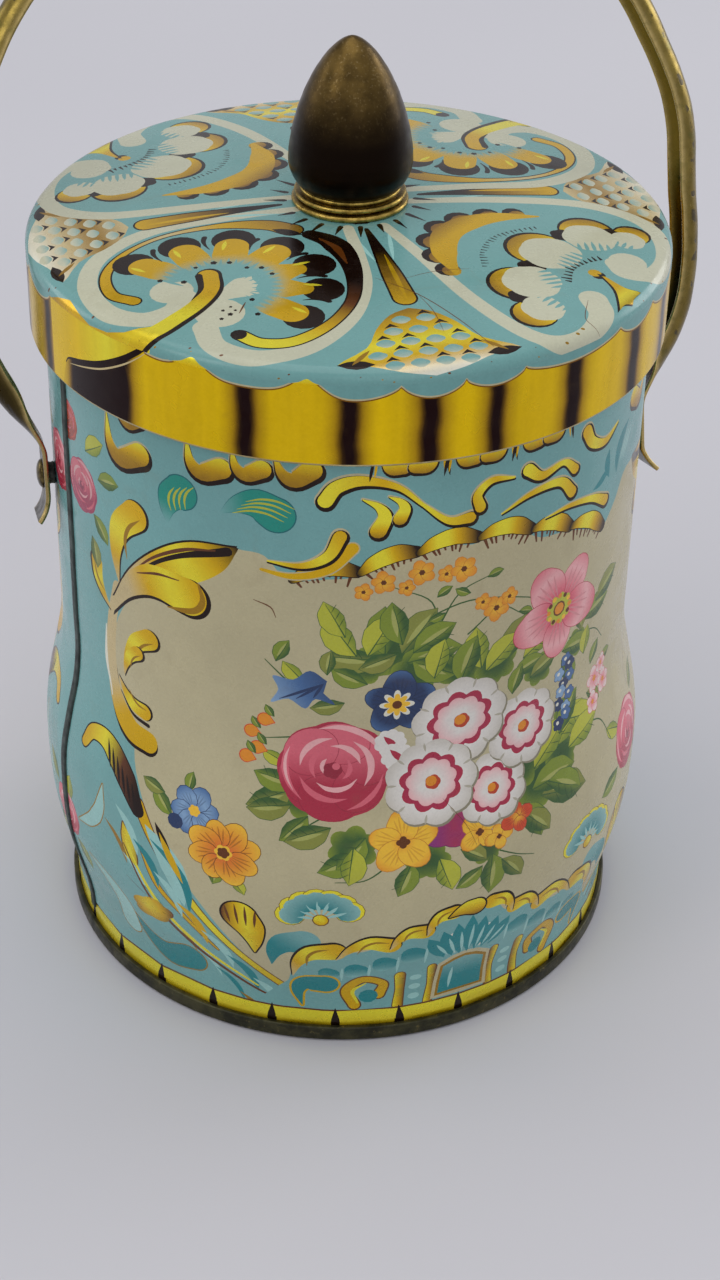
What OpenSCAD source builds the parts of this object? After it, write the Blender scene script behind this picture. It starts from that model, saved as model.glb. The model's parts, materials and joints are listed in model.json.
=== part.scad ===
// Round printed-tinplate cookie tin: lift-off domed lid with an acorn knob, and a swinging bail.
// Millimetres, +Z up. The origin is on the floor, at the centre of the base.
// The bail turns about an axis along X, and leans back towards +Y.

/* [Body] */
// Outside radius of the straight upper wall
wall_r = 54.9; // [52:0.1:57]
// How far the bulge stands out from the straight wall
bulge_out = 4.3; // [2:0.1:5]
// Height of the widest part of the bulge
bulge_z = 41; // [36:1:46]
// Height where the bulge has run into the straight wall
bulge_top_z = 71; // [62:1:80]
// Fullness of the bulge towards the foot, where 1 is an even curve
bulge_fullness = 1.5; // [1:0.1:1.8]
// Height where the bulge ends in the upright foot
foot_z = 7; // [6:0.5:10]
// Height of the body's curled mouth
mouth_z = 146.2; // [136:0.1:156]
// Thickness of the tinplate
sheet = 0.4; // [0.3:0.05:0.5]
// Direction of the side seam, seen from above and counted from +X
seam_angle = 194; // [187:1:205]

/* [Base] */
// Height of the rolled seam that joins the base to the body
ring_h = 3.2; // [2.6:0.1:4]
// Height of the underside of the base above the floor
panel_z = 1.8; // [1.4:0.1:2]

/* [Lid] */
// Height of the lid's skirt, from its hem to the shoulder's centre
skirt_h = 15; // [12:0.5:17]
// Radius of the rounded shoulder
shoulder_r = 2.5; // [2:0.1:3]
// Height of the dome's crown above the shoulder's centre
crown_h = 6.35; // [5:0.05:8]

/* [Knob] */
// Largest radius of the acorn knob
knob_r = 11; // [9:0.1:12]
// Height of the knob above its widest part
knob_top_h = 22; // [18:0.5:23]
// Height of the knob below its widest part
knob_low_h = 4.7; // [3.5:0.1:5.5]
// Outside radius of the stepped collar under the knob
collar_r = 10.4; // [9.5:0.1:10.6]

/* [Handle] */
// Height of the handle's pivot above the floor
pivot_z = 99.8; // [90:0.1:105]
// How far the handle leans back from upright
lean = 18.3; // [0:0.1:30]
// Widest half span of the bow, to its inner edge
bow_half = 65.5; // [64:0.5:68]
// Width of the half-round strap
strap_w = 9; // [6:0.1:10]
// Thickness of the strap's metal
strap_t = 0.8; // [0.6:0.1:1]

/* [Hidden] */

$fn = 96;
slack = 0.05;          // running clearance between parts that turn or pass through each other

// Body and base
bulge_r = wall_r + bulge_out;
foot_r = wall_r - 0.2;
bead_r = 0.8;          // radius of the curl round the mouth
bead_at = wall_r + 0.4;
seam_deg = 3.4;        // the side seam's width, as an angle
seam_h = 0.35;         // how far the side seam stands proud
ring_t = 0.85;         // radial thickness of the base ring's outer wall
ring_r = foot_r + 0.15 + ring_t;
groove_z = 0.65;       // floor of the groove that the body's edge stands in
panel_t = 0.5;
panel_bead_r = 42;     // middle of the stiffening bead in the base

// Lid
lid_r = wall_r + 2.6;
shoulder_at = lid_r - shoulder_r;
shoulder_z = mouth_z - 2;
hem_r = 0.5;           // radius of the curl along the skirt's lower edge
hem_z = shoulder_z - skirt_h + hem_r;
crown_z = shoulder_z + crown_h;
dome_k = crown_z - shoulder_r;
dome_z = (pow(dome_k, 2) - pow(shoulder_z, 2) - pow(shoulder_at, 2)) / (2 * (dome_k - shoulder_z));
dome_r = crown_z - dome_z;
join_a = atan2(shoulder_z - dome_z, shoulder_at);   // where the dome meets the shoulder
seat_r = 10.8;         // flat seat for the knob's collar
seat_z = dome_z + sqrt(pow(dome_r, 2) - pow(seat_r, 2));
seat_a = acos(seat_r / dome_r);

// Knob and its fastening
screw_r = 1.5;
collar_h = 3.4;
knob_z = seat_z + collar_h;
knob_widest_z = knob_z + knob_low_h;
knob_power = 1.62;     // below 2, so that the tip is drawn out to a blunt point
washer_t = 0.6;

// Handle, in its own upright plane with the pivot at its origin
rivet_r = 1.5;
spacer_l = 1.25;
strap_in = wall_r + spacer_l + slack;   // inner face of the flat ends
flat_t = 0.9;          // thickness of the flattened ends
flat_w = 11;           // width of the flattened ends
tail_w = 12.5;         // width at the tips of the tails
flat_low = -3;         // where the tails start to curl
tail_r = 8;            // radius of the curl of the tails
strip_bend = 164;      // how far the strip is rolled to make the half-round strap
strip_w = (strap_w - strap_t) * PI * strip_bend / 360 / sin(strip_bend / 2);
tail_a = 42;           // how far the tails curl out
neck_z = 4;            // where the half-round strap starts
widest_z = 35;         // where the bow is widest
side_r = 130;          // radius of the bow's long sides
side_a = 13;
corner_r = 50;         // radius of the bow's shoulders
corner_a = 60;
neck_a = 2 * atan2(bow_half - strap_in, widest_z - neck_z);
neck_r = (widest_z - neck_z) / sin(neck_a);
neck_out_r = 0.45 * neck_r;             // the lower, outward bend of the neck
neck_in_r = neck_r - neck_out_r;        // the upper bend, back to upright
corner_x = bow_half - side_r + (side_r - corner_r) * cos(side_a);
corner_z = widest_z + (side_r - corner_r) * sin(side_a);
top_r = corner_r + corner_x / cos(corner_a);
top_z = corner_z - (top_r - corner_r) * sin(corner_a);

// Points along an arc from angle a0 to a1
function arc(cx, cy, r, a0, a1, n) = [
    for (i = [0:n]) let (a = a0 + (a1 - a0) * i / n) [cx + r * cos(a), cy + r * sin(a)]
];
function backwards(p) = [for (i = [len(p) - 1:-1:0]) p[i]];
function ease(t) = (1 - cos(180 * t)) / 2;

// Outside radius of the body at height z
function body_r(z) =
    z >= bulge_top_z ? wall_r :
    z >= bulge_z ? wall_r + bulge_out * ease((bulge_top_z - z) / (bulge_top_z - bulge_z)) :
    z >= foot_z ?
        bulge_r + (foot_r - bulge_r) * ease(pow((bulge_z - z) / (bulge_z - foot_z), bulge_fullness)) :
    foot_r;

// The body's outside line from height z0 to z1, moved out by extra
function wall_line(z0, z1, extra, n) = concat(
    [[body_r(z0) + extra, z0]],
    [for (i = [0:n]) let (z = foot_z + (bulge_top_z - foot_z) * i / n) [body_r(z) + extra, z]],
    [[wall_r + extra, z1]]
);

// Radius of the knob at height h above its foot
function knob_line(h) =
    h < knob_low_h
        ? knob_r * sqrt(1 - pow((knob_low_h - h) / (1.75 * knob_low_h), 2))
        : knob_r * pow(1 - pow((h - knob_low_h) / knob_top_h, knob_power), 1 / knob_power);

// Rolled sheet with a curled mouth, a raised side seam and a hole for each rivet
module body_shell() {
    wall_n = 40;
    top = mouth_z - bead_r;
    color("#7fa9a2") difference() {
        union() {
            rotate_extrude() union() {
                polygon(concat(
                    wall_line(groove_z, top, 0, wall_n),
                    backwards(wall_line(groove_z, top, -sheet, wall_n))
                ));
                translate([bead_at, mouth_z - bead_r]) circle(r = bead_r);
            }
            rotate([0, 0, seam_angle - seam_deg / 2]) rotate_extrude(angle = seam_deg)
                polygon(concat(
                    wall_line(foot_z - 1, hem_z - 3, seam_h, wall_n),
                    backwards(wall_line(foot_z - 1, hem_z - 3, -sheet / 2, wall_n))
                ));
        }
        translate([0, 0, pivot_z]) rotate([0, 90, 0])
            cylinder(r = rivet_r + slack, h = 3 * wall_r, center = true);
    }
}

// Base with a rolled ring that grips the body's lower edge, and a stiffening bead
module base_plate() {
    in_r = foot_r - sheet - 0.15;       // inner wall of the groove
    color("#2a2a18") rotate_extrude() polygon(concat(
        [[0, panel_z], [panel_bead_r - 3, panel_z]],
        [[panel_bead_r - 2, panel_z + 0.7], [panel_bead_r + 2, panel_z + 0.7]],
        [[panel_bead_r + 3, panel_z], [in_r - 1.1, panel_z], [in_r - 0.9, panel_z - 0.3]],
        arc(in_r - 0.4, 0.5, 0.5, 180, 270, 5),
        arc(ring_r - 0.5, 0.5, 0.5, 270, 360, 5),
        arc(ring_r - 0.4, ring_h - 0.4, 0.4, 0, 90, 5),
        [[foot_r + 0.15, ring_h], [foot_r + 0.15, groove_z], [in_r, groove_z]],
        [[in_r, panel_z + panel_t], [panel_bead_r + 3.3, panel_z + panel_t]],
        [[panel_bead_r + 2.3, panel_z + panel_t + 0.7], [panel_bead_r - 2.3, panel_z + panel_t + 0.7]],
        [[panel_bead_r - 3.3, panel_z + panel_t], [0, panel_z + panel_t]]
    ));
}

// Drawn lid: flat seat, dome, rounded shoulder and a skirt that ends in a curl
module lid_shell() {
    color("#b8941a") rotate_extrude() polygon(concat(
        [[screw_r + slack, seat_z]],
        arc(0, dome_z, dome_r, seat_a, join_a, 12),
        arc(shoulder_at, shoulder_z, shoulder_r, join_a, 0, 10),
        arc(lid_r - hem_r, hem_z, hem_r, 0, -270, 12),
        [[lid_r - sheet, hem_z + hem_r]],
        arc(shoulder_at, shoulder_z, shoulder_r - sheet, 0, join_a, 10),
        arc(0, dome_z, dome_r - sheet, join_a, seat_a, 12),
        [[screw_r + slack, seat_z - sheet]]
    ));
}

// Stepped brass flange between the lid and the knob
module finial_collar() {
    color("#b08a2a") translate([0, 0, seat_z]) rotate_extrude() polygon(concat(
        [[screw_r + slack, 0]],
        arc(collar_r - 0.5, 0.5, 0.5, -90, 90, 8),
        [[collar_r - 0.9, 1.2]],
        arc(collar_r - 0.9, 1.9, 0.5, -60, 90, 8),
        [[collar_r - 1.5, 2.6]],
        arc(collar_r - 1.6, 3, 0.4, -60, 90, 6),
        [[screw_r + slack, collar_h]]
    ));
}

// Acorn knob, turned, with a blind hole for its screw
module finial_knob() {
    knob_n = 36;
    bore_h = 12;
    top = knob_low_h + knob_top_h;
    color("#2b1d10") translate([0, 0, knob_z]) difference() {
        rotate_extrude() polygon(concat(
            [[0, 0]],
            [for (i = [0:knob_n]) let (h = top * sin(90 * i / knob_n)) [max(0, knob_line(h)), h]]
        ));
        translate([0, 0, -1]) cylinder(r = screw_r + slack, h = bore_h + 1);
    }
}

// Slotted screw that holds the knob from inside the lid
module finial_screw() {
    head_r = 2.9;
    head_h = 1.8;
    slot = 0.8;
    head_top = seat_z - sheet - washer_t;
    color("#8d8f90") difference() {
        union() {
            translate([0, 0, head_top - head_h]) cylinder(r1 = head_r - 0.4, r2 = head_r, h = 0.5);
            translate([0, 0, head_top - head_h + 0.5]) cylinder(r = head_r, h = head_h - 0.5);
            translate([0, 0, head_top - 0.5]) cylinder(r = screw_r, h = knob_z + 11 - head_top + 0.5);
        }
        translate([-slot / 2, -head_r - 1, head_top - head_h - 1]) cube([slot, 2 * head_r + 2, 1.8]);
    }
}

// Flat washer between the screw's head and the lid
module finial_washer() {
    color("#9a9c9d") translate([0, 0, seat_z - sheet - washer_t]) difference() {
        cylinder(r = 4.2, h = washer_t);
        translate([0, 0, -1]) cylinder(r = screw_r + slack, h = washer_t + 2);
    }
}

// A station of the strap's path is [x, z, turn, w, bend, t]: the inner edge's place in the
// bow's upright plane, the direction it faces, and the strip's flat width, bend and thickness.
function flat_station(p, turn, w) = [p[0], p[1], turn, w, 0, flat_t];
function round_station(p, turn, m) =
    [p[0], p[1], turn, flat_w + (strip_w - flat_w) * m, strip_bend * m, flat_t + (strap_t - flat_t) * m];
function on_arc(cx, cz, r, a) = [cx + r * cos(a), cz + r * sin(a)];

// Stations of the right half, from the tip of the tail to just short of the crown
function half_path() = concat(
    [for (i = [0:5]) let (a = tail_a * (1 - i / 6))
        flat_station(on_arc(strap_in + tail_r, flat_low, tail_r, 180 + a), a,
            flat_w + (tail_w - flat_w) * a / tail_a)],
    [flat_station([strap_in, flat_low], 0, flat_w), flat_station([strap_in, neck_z], 0, flat_w)],
    [for (i = [1:8]) let (a = neck_a * i / 8)
        round_station(on_arc(strap_in + neck_out_r, neck_z, neck_out_r, 180 - a), -a, ease(i / 8))],
    [for (i = [1:6]) let (a = -neck_a * (1 - i / 6))
        round_station(on_arc(bow_half - neck_in_r, widest_z, neck_in_r, a), a, 1)],
    [for (i = [1:4]) let (a = side_a * i / 4)
        round_station(on_arc(bow_half - side_r, widest_z, side_r, a), a, 1)],
    [for (i = [1:8]) let (a = side_a + (corner_a - side_a) * i / 8)
        round_station(on_arc(corner_x, corner_z, corner_r, a), a, 1)],
    [for (i = [1:6]) let (a = corner_a + (90 - corner_a) * i / 7)
        round_station(on_arc(0, top_z, top_r, a), a, 1)]
);

// Outline of the strip across the station, as [height above the inner edge, place across]
function strip_line(w, bend, side) =
    let (n = 8, r = bend > 0 ? w * 180 / (PI * bend) : 0)
    [for (i = [0:n]) let (s = side * (i / n - 0.5))
        bend > 0 ? [r * cos(s * bend), r * sin(s * bend)] : [0, s * w]];

function ring(st) =
    let (
        w = st[3],
        bend = st[4],
        t = st[5],
        r = bend > 0 ? w * 180 / (PI * bend) : 0,
        sink = bend > 0 ? (r - t / 2) * cos(bend / 2) : -t / 2,
        outer = bend > 0 ? (r + t / 2) / r : 1,
        inner = bend > 0 ? (r - t / 2) / r : 1,
        step = bend > 0 ? 0 : t / 2
    )
    [for (q = concat(
            [for (p = strip_line(w, bend, 1)) [p[0] * outer + step, p[1] * outer]],
            [for (p = strip_line(w, bend, -1)) [p[0] * inner - step, p[1] * inner]]
        ))
        let (d = q[0] - sink)
        [st[0] + d * cos(st[2]), q[1], st[1] + d * sin(st[2])]];

function mirrored(st) = [-st[0], st[1], 180 - st[2], st[3], st[4], st[5]];

// Half-round brass bail with flattened, pierced ends and tails that curl outwards
module handle_strap() {
    half = half_path();
    crown = round_station([0, top_z + top_r], 90, 1);
    path = concat(half, [crown], [for (st = backwards(half)) mirrored(st)]);
    rings = [for (st = path) ring(st)];
    m = len(rings[0]);
    last = m * (len(rings) - 1);
    color("#8f7a35") translate([0, 0, pivot_z]) rotate([-lean, 0, 0]) difference() {
        polyhedron(
            points = [for (r = rings) each r],
            faces = concat(
                [for (j = [0:m / 2 - 2]) [j, j + 1, m - 2 - j, m - 1 - j]],
                [for (i = [0:m:last - m], j = [0:m - 1])
                    [i + j, i + m + j, i + m + (j + 1) % m, i + (j + 1) % m]],
                [for (j = [0:m / 2 - 2]) [last + m - 1 - j, last + m - 2 - j, last + j + 1, last + j]]
            )
        );
        rotate([0, 90, 0]) cylinder(r = rivet_r + slack, h = 3 * bow_half, center = true);
    }
}

// Parts along the pivot on the +X side, drawn along +Z from the tin's axis
module along_pivot(side) {
    translate([0, 0, pivot_z]) rotate([0, side * 90, 0]) children();
}

// Rivet with a flat head inside the tin and a low domed head outside the strap
module rivet(side) {
    out = strap_in + flat_t + slack;
    in = sqrt(pow(wall_r - sheet, 2) - pow(4, 2)) - washer_t;
    dome = 1.1;
    head_r = 2.7;
    color("#6d5c26") along_pivot(side) {
        translate([0, 0, in - 0.9]) cylinder(r = 3, h = 0.9);
        translate([0, 0, in - 0.4]) cylinder(r = rivet_r, h = out - in + 0.8);
        translate([0, 0, out]) rotate_extrude() polygon(concat(
            [[0, 0]],
            [for (a = [0:10:90]) [head_r * cos(a), dome * sin(a)]]
        ));
    }
}

// Stand-off tube that keeps the strap clear of the body
module spacer(side) {
    color("#1d1f1a") along_pivot(side) translate([0, 0, wall_r]) difference() {
        cylinder(r = 2.1, h = spacer_l);
        translate([0, 0, -1]) cylinder(r = rivet_r + slack, h = spacer_l + 2);
    }
}

// Flat washer that spreads the rivet's inner head on the wall
module inner_washer(side) {
    at = sqrt(pow(wall_r - sheet, 2) - pow(4, 2)) - washer_t;
    color("#9a9c9d") along_pivot(side) translate([0, 0, at]) difference() {
        cylinder(r = 4, h = washer_t);
        translate([0, 0, -1]) cylinder(r = rivet_r + slack, h = washer_t + 2);
    }
}

module left_rivet() rivet(-1);
module right_rivet() rivet(1);
module left_spacer() spacer(-1);
module right_spacer() spacer(1);
module left_inner_washer() inner_washer(-1);
module right_inner_washer() inner_washer(1);

body_shell();
base_plate();
lid_shell();
finial_collar();
finial_knob();
finial_screw();
finial_washer();
handle_strap();
left_rivet();
right_rivet();
left_spacer();
right_spacer();
left_inner_washer();
right_inner_washer();
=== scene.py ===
"""Looks of a round printed-tinplate cookie tin with a domed lid, an acorn knob and a swinging bail."""
import json
import math
import random

import bmesh
import bpy
import numpy as np
from mathutils import Matrix, Vector
from mathutils.geometry import delaunay_2d_cdt


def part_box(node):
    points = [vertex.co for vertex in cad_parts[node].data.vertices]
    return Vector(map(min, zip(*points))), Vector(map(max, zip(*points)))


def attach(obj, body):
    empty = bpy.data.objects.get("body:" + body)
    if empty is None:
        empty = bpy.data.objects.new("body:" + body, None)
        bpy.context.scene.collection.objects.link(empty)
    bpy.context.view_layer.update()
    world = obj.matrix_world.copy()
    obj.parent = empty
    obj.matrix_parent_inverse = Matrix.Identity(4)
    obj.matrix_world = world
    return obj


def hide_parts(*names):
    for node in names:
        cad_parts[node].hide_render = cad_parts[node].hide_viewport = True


MM = 0.001
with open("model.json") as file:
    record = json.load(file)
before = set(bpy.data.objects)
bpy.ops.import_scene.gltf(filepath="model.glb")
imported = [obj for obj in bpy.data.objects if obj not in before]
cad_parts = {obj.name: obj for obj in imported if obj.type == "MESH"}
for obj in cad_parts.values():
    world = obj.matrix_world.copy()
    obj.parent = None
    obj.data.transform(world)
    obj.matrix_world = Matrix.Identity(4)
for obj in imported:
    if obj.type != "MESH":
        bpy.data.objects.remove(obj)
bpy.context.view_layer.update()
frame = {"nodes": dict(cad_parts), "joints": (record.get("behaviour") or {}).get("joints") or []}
rng = random.Random(7)


def size_mm(node):
    """Lowest and highest corner of a CAD node, in millimetres."""
    low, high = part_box(node)
    return [c / MM for c in low], [c / MM for c in high]


# ---------------------------------------------------------------- sizes, taken from the frame
body_high = size_mm("body_shell")[1]
base_high = size_mm("base_plate")[1]
lid_low, lid_high = size_mm("lid_shell")
knob_low, knob_high = size_mm("finial_knob")
collar_low, collar_high = size_mm("finial_collar")
spacer_low, spacer_high = size_mm("right_spacer")
rivet_low, rivet_high = size_mm("right_rivet")
swing = [j for j in frame["joints"] if j["name"] == "handle_swing"][0]

BULGE_R = body_high[1]                      # widest radius of the bulge
LID_R = lid_high[0]
WALL_R = spacer_low[0]                      # the spacers stand on the straight wall
HALF_PANEL = math.pi * WALL_R / 2           # half the width of one picture, which goes half way round
MOUTH_Z = body_high[2]
RING_R = base_high[0]
RING_H = base_high[2]
FOOT_R = WALL_R - 0.2
FOOT_Z, BULGE_Z, BULGE_TOP = 7.0, 41.0, 71.0    # where the bulge starts, is widest and ends
SHEET = 0.4                                 # thickness of the tinplate
HEM_Z = lid_low[2]
SEAT_Z = collar_low[2]
SHOULDER_R = 2.5
SHOULDER_Z = MOUTH_Z - 2.0
SHOULDER_AT = LID_R - SHOULDER_R
CROWN_RISE = 6.35
CROWN_Z = SHOULDER_Z + CROWN_RISE
DOME_K = CROWN_Z - SHOULDER_R
DOME_Z = (DOME_K ** 2 - SHOULDER_Z ** 2 - SHOULDER_AT ** 2) / (2 * (DOME_K - SHOULDER_Z))
DOME_R = CROWN_Z - DOME_Z
JOIN_A = math.atan2(SHOULDER_Z - DOME_Z, SHOULDER_AT)
DOME_END = DOME_R * math.cos(JOIN_A)        # radius where the dome meets the shoulder
LID_EDGE = DOME_END + SHOULDER_R * JOIN_A   # the same, laid flat, where the shoulder meets the skirt
PIVOT_Z = swing["pos_m"][2] / MM
SHAFT_R = 1.55                              # holes for the knob's screw and for the rivets

SEAM_AZ = -76.0                             # azimuths count from -Y towards +X, in degrees
PANEL_AZ = SEAM_AZ + 90                     # middle of the front picture; the print repeats every 180


def ease(t):
    """From 0 to 1 with a soft start and end."""
    return (1 - np.cos(np.pi * np.clip(t, 0, 1))) / 2


def body_radius(z):
    """Outside radius of the body at height z, in millimetres."""
    z = np.asarray(z, float)
    upper = WALL_R + (BULGE_R - WALL_R) * ease((BULGE_TOP - z) / (BULGE_TOP - BULGE_Z))
    fall = np.clip((BULGE_Z - z) / (BULGE_Z - FOOT_Z), 0, 1) ** 1.5
    lower = BULGE_R + (FOOT_R - BULGE_R) * ease(fall)
    return np.where(z >= BULGE_Z, upper, lower)


# ---------------------------------------------------------------- inks of the print
def linear(c):
    """Scene-linear brightness of screen levels from 0 to 255."""
    c = np.asarray(c, float) / 255
    return np.where(c <= 0.04045, c / 12.92, ((c + 0.055) / 1.055) ** 2.4)


INK_GAIN = 1.28     # from the brightness a colour shows in even light to the ink's own


def ink(r, g, b, metal=0.0):
    """Colour of an ink, with how metallic it is as the fourth number."""
    return np.append(np.clip(linear((r, g, b)) * INK_GAIN, 0, 0.9), metal)


TEAL = ink(104, 152, 150)
TEAL_LID = ink(100, 146, 143)
TEAL_DEEP = ink(4, 116, 120)
TEAL_PALE = ink(138, 182, 176)
JADE = ink(12, 128, 112)
CREAM = ink(172, 163, 128)
CREAM_LID = ink(176, 176, 152)
CREAM_PALE = ink(205, 203, 186)
GOLD = ink(204, 162, 4, 0.6)
GOLD_PALE = ink(238, 206, 44, 0.5)
GOLD_DULL = ink(150, 112, 20, 0.6)
GOLD_SKIRT = ink(220, 182, 0, 0.7)
BROWN_GOLD = ink(120, 78, 8, 0.6)
TAN = ink(186, 168, 122, 0.2)
BROWN = ink(28, 11, 4, 0.6)
BROWN_WARM = ink(92, 48, 12, 0.3)
STRIPE = ink(26, 7, 7, 0.85)
WHITE = ink(208, 204, 196)
MAGENTA = ink(150, 40, 74)
PINK = ink(200, 92, 106)
PINK_PALE = ink(216, 160, 160)
PINK_DEEP = ink(160, 34, 58)
ORANGE = ink(206, 128, 26)
YELLOW = ink(218, 172, 44)
RED = ink(190, 66, 30)
BLUE = ink(62, 96, 140)
BLUE_DEEP = ink(28, 48, 84)
BLUE_PALE = ink(120, 150, 180)
PURPLE = ink(122, 40, 104)
GREEN = ink(114, 130, 36)
GREEN_DEEP = ink(48, 82, 34)
GREEN_PALE = ink(166, 168, 46)
OLIVE = ink(122, 126, 52)
OLIVE_PALE = ink(150, 154, 82)


def between(t, stops):
    """Inks along a row of stops, for places t from 0 to 1."""
    t = np.clip(t, 0, 1) * (len(stops) - 1)
    i = np.minimum(t.astype(int), len(stops) - 2)
    f = (t - i)[:, None]
    return stops[i] * (1 - f) + stops[i + 1] * f


def fade(p, q, *stops):
    """Ink that runs through the stops from point p to point q."""
    p, q = np.array(p, float), np.array(q, float)
    line = q - p
    return lambda xy: between((xy - p) @ line / (line @ line), np.array(stops))


def round_fade(centre, radius, *stops):
    """Ink that runs through the stops outwards from a centre."""
    centre = np.array(centre, float)
    return lambda xy: between(np.linalg.norm(xy - centre, axis=1) / radius, np.array(stops))


# ---------------------------------------------------------------- drawing in the flat
def spline(points, steps=8):
    """Smooth curve through the points, as an array."""
    p = np.array(points, float)
    p = np.vstack([2 * p[0] - p[1], p, 2 * p[-1] - p[-2]])
    out = []
    for a, b, c, d in zip(p[:-3], p[1:-2], p[2:-1], p[3:]):
        for i in range(steps):
            t = i / steps
            out.append(0.5 * (2 * b + (c - a) * t + (2 * a - 5 * b + 4 * c - d) * t ** 2
                              + (3 * b - a - 3 * c + d) * t ** 3))
    out.append(p[-2])
    return np.array(out)


def turned(angle):
    """Matrix that turns rows of flat points by an angle in radians."""
    c, s = math.cos(angle), math.sin(angle)
    return np.array([[c, s], [-s, c]])


class Print:
    """Flat shapes lying on each other: the last one drawn is on top."""

    def __init__(self):
        self.shapes = []
        self.frames = [(np.eye(2), np.zeros(2))]

    def place(self, move=(0, 0), turn=0.0, mirror=False, scale=1.0):
        """Everything drawn until done() is mirrored, scaled, turned and then moved by these."""
        flip = np.diag([-1.0, 1.0]) if mirror else np.eye(2)
        m = flip @ turned(math.radians(turn)) * scale
        base, shift = self.frames[-1]
        self.frames.append((m @ base, np.array(move, float) @ base + shift))
        return self

    def done(self):
        self.frames.pop()

    def both_ways(self):
        """Go through a loop twice, drawing it as it is and then mirrored."""
        for mirror in (False, True):
            self.place(mirror=mirror)
            yield
            self.done()

    def draw(self, outline, colour):
        """A filled outline. The colour is an ink or a function that gives inks for points."""
        m, shift = self.frames[-1]
        local = np.array(outline, float)
        if callable(colour):
            back = np.linalg.inv(m)

            def at(xy):
                return colour((xy - shift) @ back)
        else:
            def at(xy):
                return np.tile(colour, (len(xy), 1))
        self.shapes.append((local @ m + shift, at))

    # ---- shapes
    def band(self, path, widths, colour, outline=None, line=0.35, steps=8, shift=0.0):
        """A stroke along a smooth path. widths are spread evenly along it; shift moves it to its left."""
        c = spline(path, steps)
        t = np.gradient(c, axis=0)
        t /= np.maximum(np.linalg.norm(t, axis=1), 1e-9)[:, None]
        n = np.stack([-t[:, 1], t[:, 0]], 1)
        run = np.concatenate([[0], np.cumsum(np.linalg.norm(np.diff(c, axis=0), axis=1))])
        w = np.interp(run / run[-1], np.linspace(0, 1, len(widths)), widths) / 2
        c = c + n * shift
        for extra, paint in (((line, outline),) if outline is not None else ()) + ((0, colour),):
            h = w + extra
            cap_a = math.atan2(-t[0][1], -t[0][0])
            cap_b = math.atan2(t[-1][1], t[-1][0])
            ends = []
            for at, angle, r in ((c[-1], cap_b, h[-1]), (c[0], cap_a, h[0])):
                k = max(2, int(r * 4))
                turn = np.linspace(math.pi / 2, -math.pi / 2, k + 2)[1:-1]
                ends.append(at + r * np.stack([np.cos(angle + turn), np.sin(angle + turn)], 1))
            self.draw(np.vstack([c + n * h[:, None], ends[0], (c - n * h[:, None])[::-1], ends[1]]), paint)

    def blob(self, x, y, r, colour, squash=1.0, turn=0.0, lobes=0, depth=0.0, outline=None, line=0.35):
        """A disc, or a flower-like outline when it has lobes."""
        k = max(10, int(r * 5), lobes * 6)
        a = np.linspace(0, 2 * math.pi, k, endpoint=False)
        wave = 1 - depth * (1 - np.abs(np.cos(lobes * a / 2))) if lobes else np.ones(k)
        for extra, paint in (((line, outline),) if outline is not None else ()) + ((0, colour),):
            q = np.stack([np.cos(a), np.sin(a) * squash], 1) * (r * wave + extra)[:, None]
            self.draw(q @ turned(math.radians(turn)) + (x, y), paint)

    def drop(self, tail, head, r, colour, bend=0.0, outline=None, line=0.35, tail_w=0.15):
        """A comma: a round head that runs out into a thin, bent tail."""
        tail, head = np.array(tail, float), np.array(head, float)
        d = head - tail
        side = np.array([-d[1], d[0]]) * bend
        path = [tail, tail + d * 0.35 + side * 0.9, tail + d * 0.7 + side, head]
        self.band(path, [tail_w, r * 0.9, r * 1.7, 2 * r], colour, outline, line, steps=5)

    def leaf(self, root, tip, w, colour, bend=0.0, outline=None, line=0.3):
        """A pointed leaf."""
        root, tip = np.array(root, float), np.array(tip, float)
        d = tip - root
        side = np.array([-d[1], d[0]]) * bend
        path = [root, root + d * 0.33 + side, root + d * 0.67 + side, tip]
        self.band(path, [0.1, w * 0.75, w, w * 0.8, 0.1], colour, outline, line, steps=6)

    def fringe(self, path, length, pitch, w, colour, lean=0.0, wobble=0.35):
        """Thin teeth that hang to the right of a path."""
        c = spline(path, 12)
        run = np.concatenate([[0], np.cumsum(np.linalg.norm(np.diff(c, axis=0), axis=1))])
        for s in np.arange(pitch / 2, run[-1], pitch):
            s += rng.uniform(-wobble, wobble) * pitch
            p = np.array([np.interp(s, run, c[:, 0]), np.interp(s, run, c[:, 1])])
            q = np.array([np.interp(s + 0.1, run, c[:, 0]), np.interp(s + 0.1, run, c[:, 1])])
            t = (q - p) / max(np.linalg.norm(q - p), 1e-9)
            n = np.array([t[1], -t[0]]) + t * lean
            long = length * rng.uniform(0.6, 1.15)
            half = t * w / 2
            self.draw([p - half, p + half, p + half * 0.5 + n * long, p - half * 0.3 + n * long * 0.97],
                      colour)


# ---------------------------------------------------------------- meshes
def finish_mesh(name, verts, faces, material, body, replaces=(), slot=None, sharp=35, normals=None):
    """Make a piece and tell the frame what it rides on. Faces meet sharply above the angle sharp."""
    mesh = bpy.data.meshes.new(name)
    mesh.from_pydata([tuple(v) for v in verts], [], [tuple(int(i) for i in f) for f in faces])
    mesh.validate()
    mesh.polygons.foreach_set("use_smooth", np.ones(len(mesh.polygons), bool))
    if normals is not None:
        mesh.normals_split_custom_set_from_vertices([tuple(n) for n in normals])
    else:
        mesh.set_sharp_from_angle(angle=math.radians(sharp))
    mesh.materials.append(material)
    piece = bpy.data.objects.new(name, mesh)
    bpy.context.scene.collection.objects.link(piece)
    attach(piece, body)
    if replaces:
        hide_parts(*replaces)
    return piece


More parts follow.
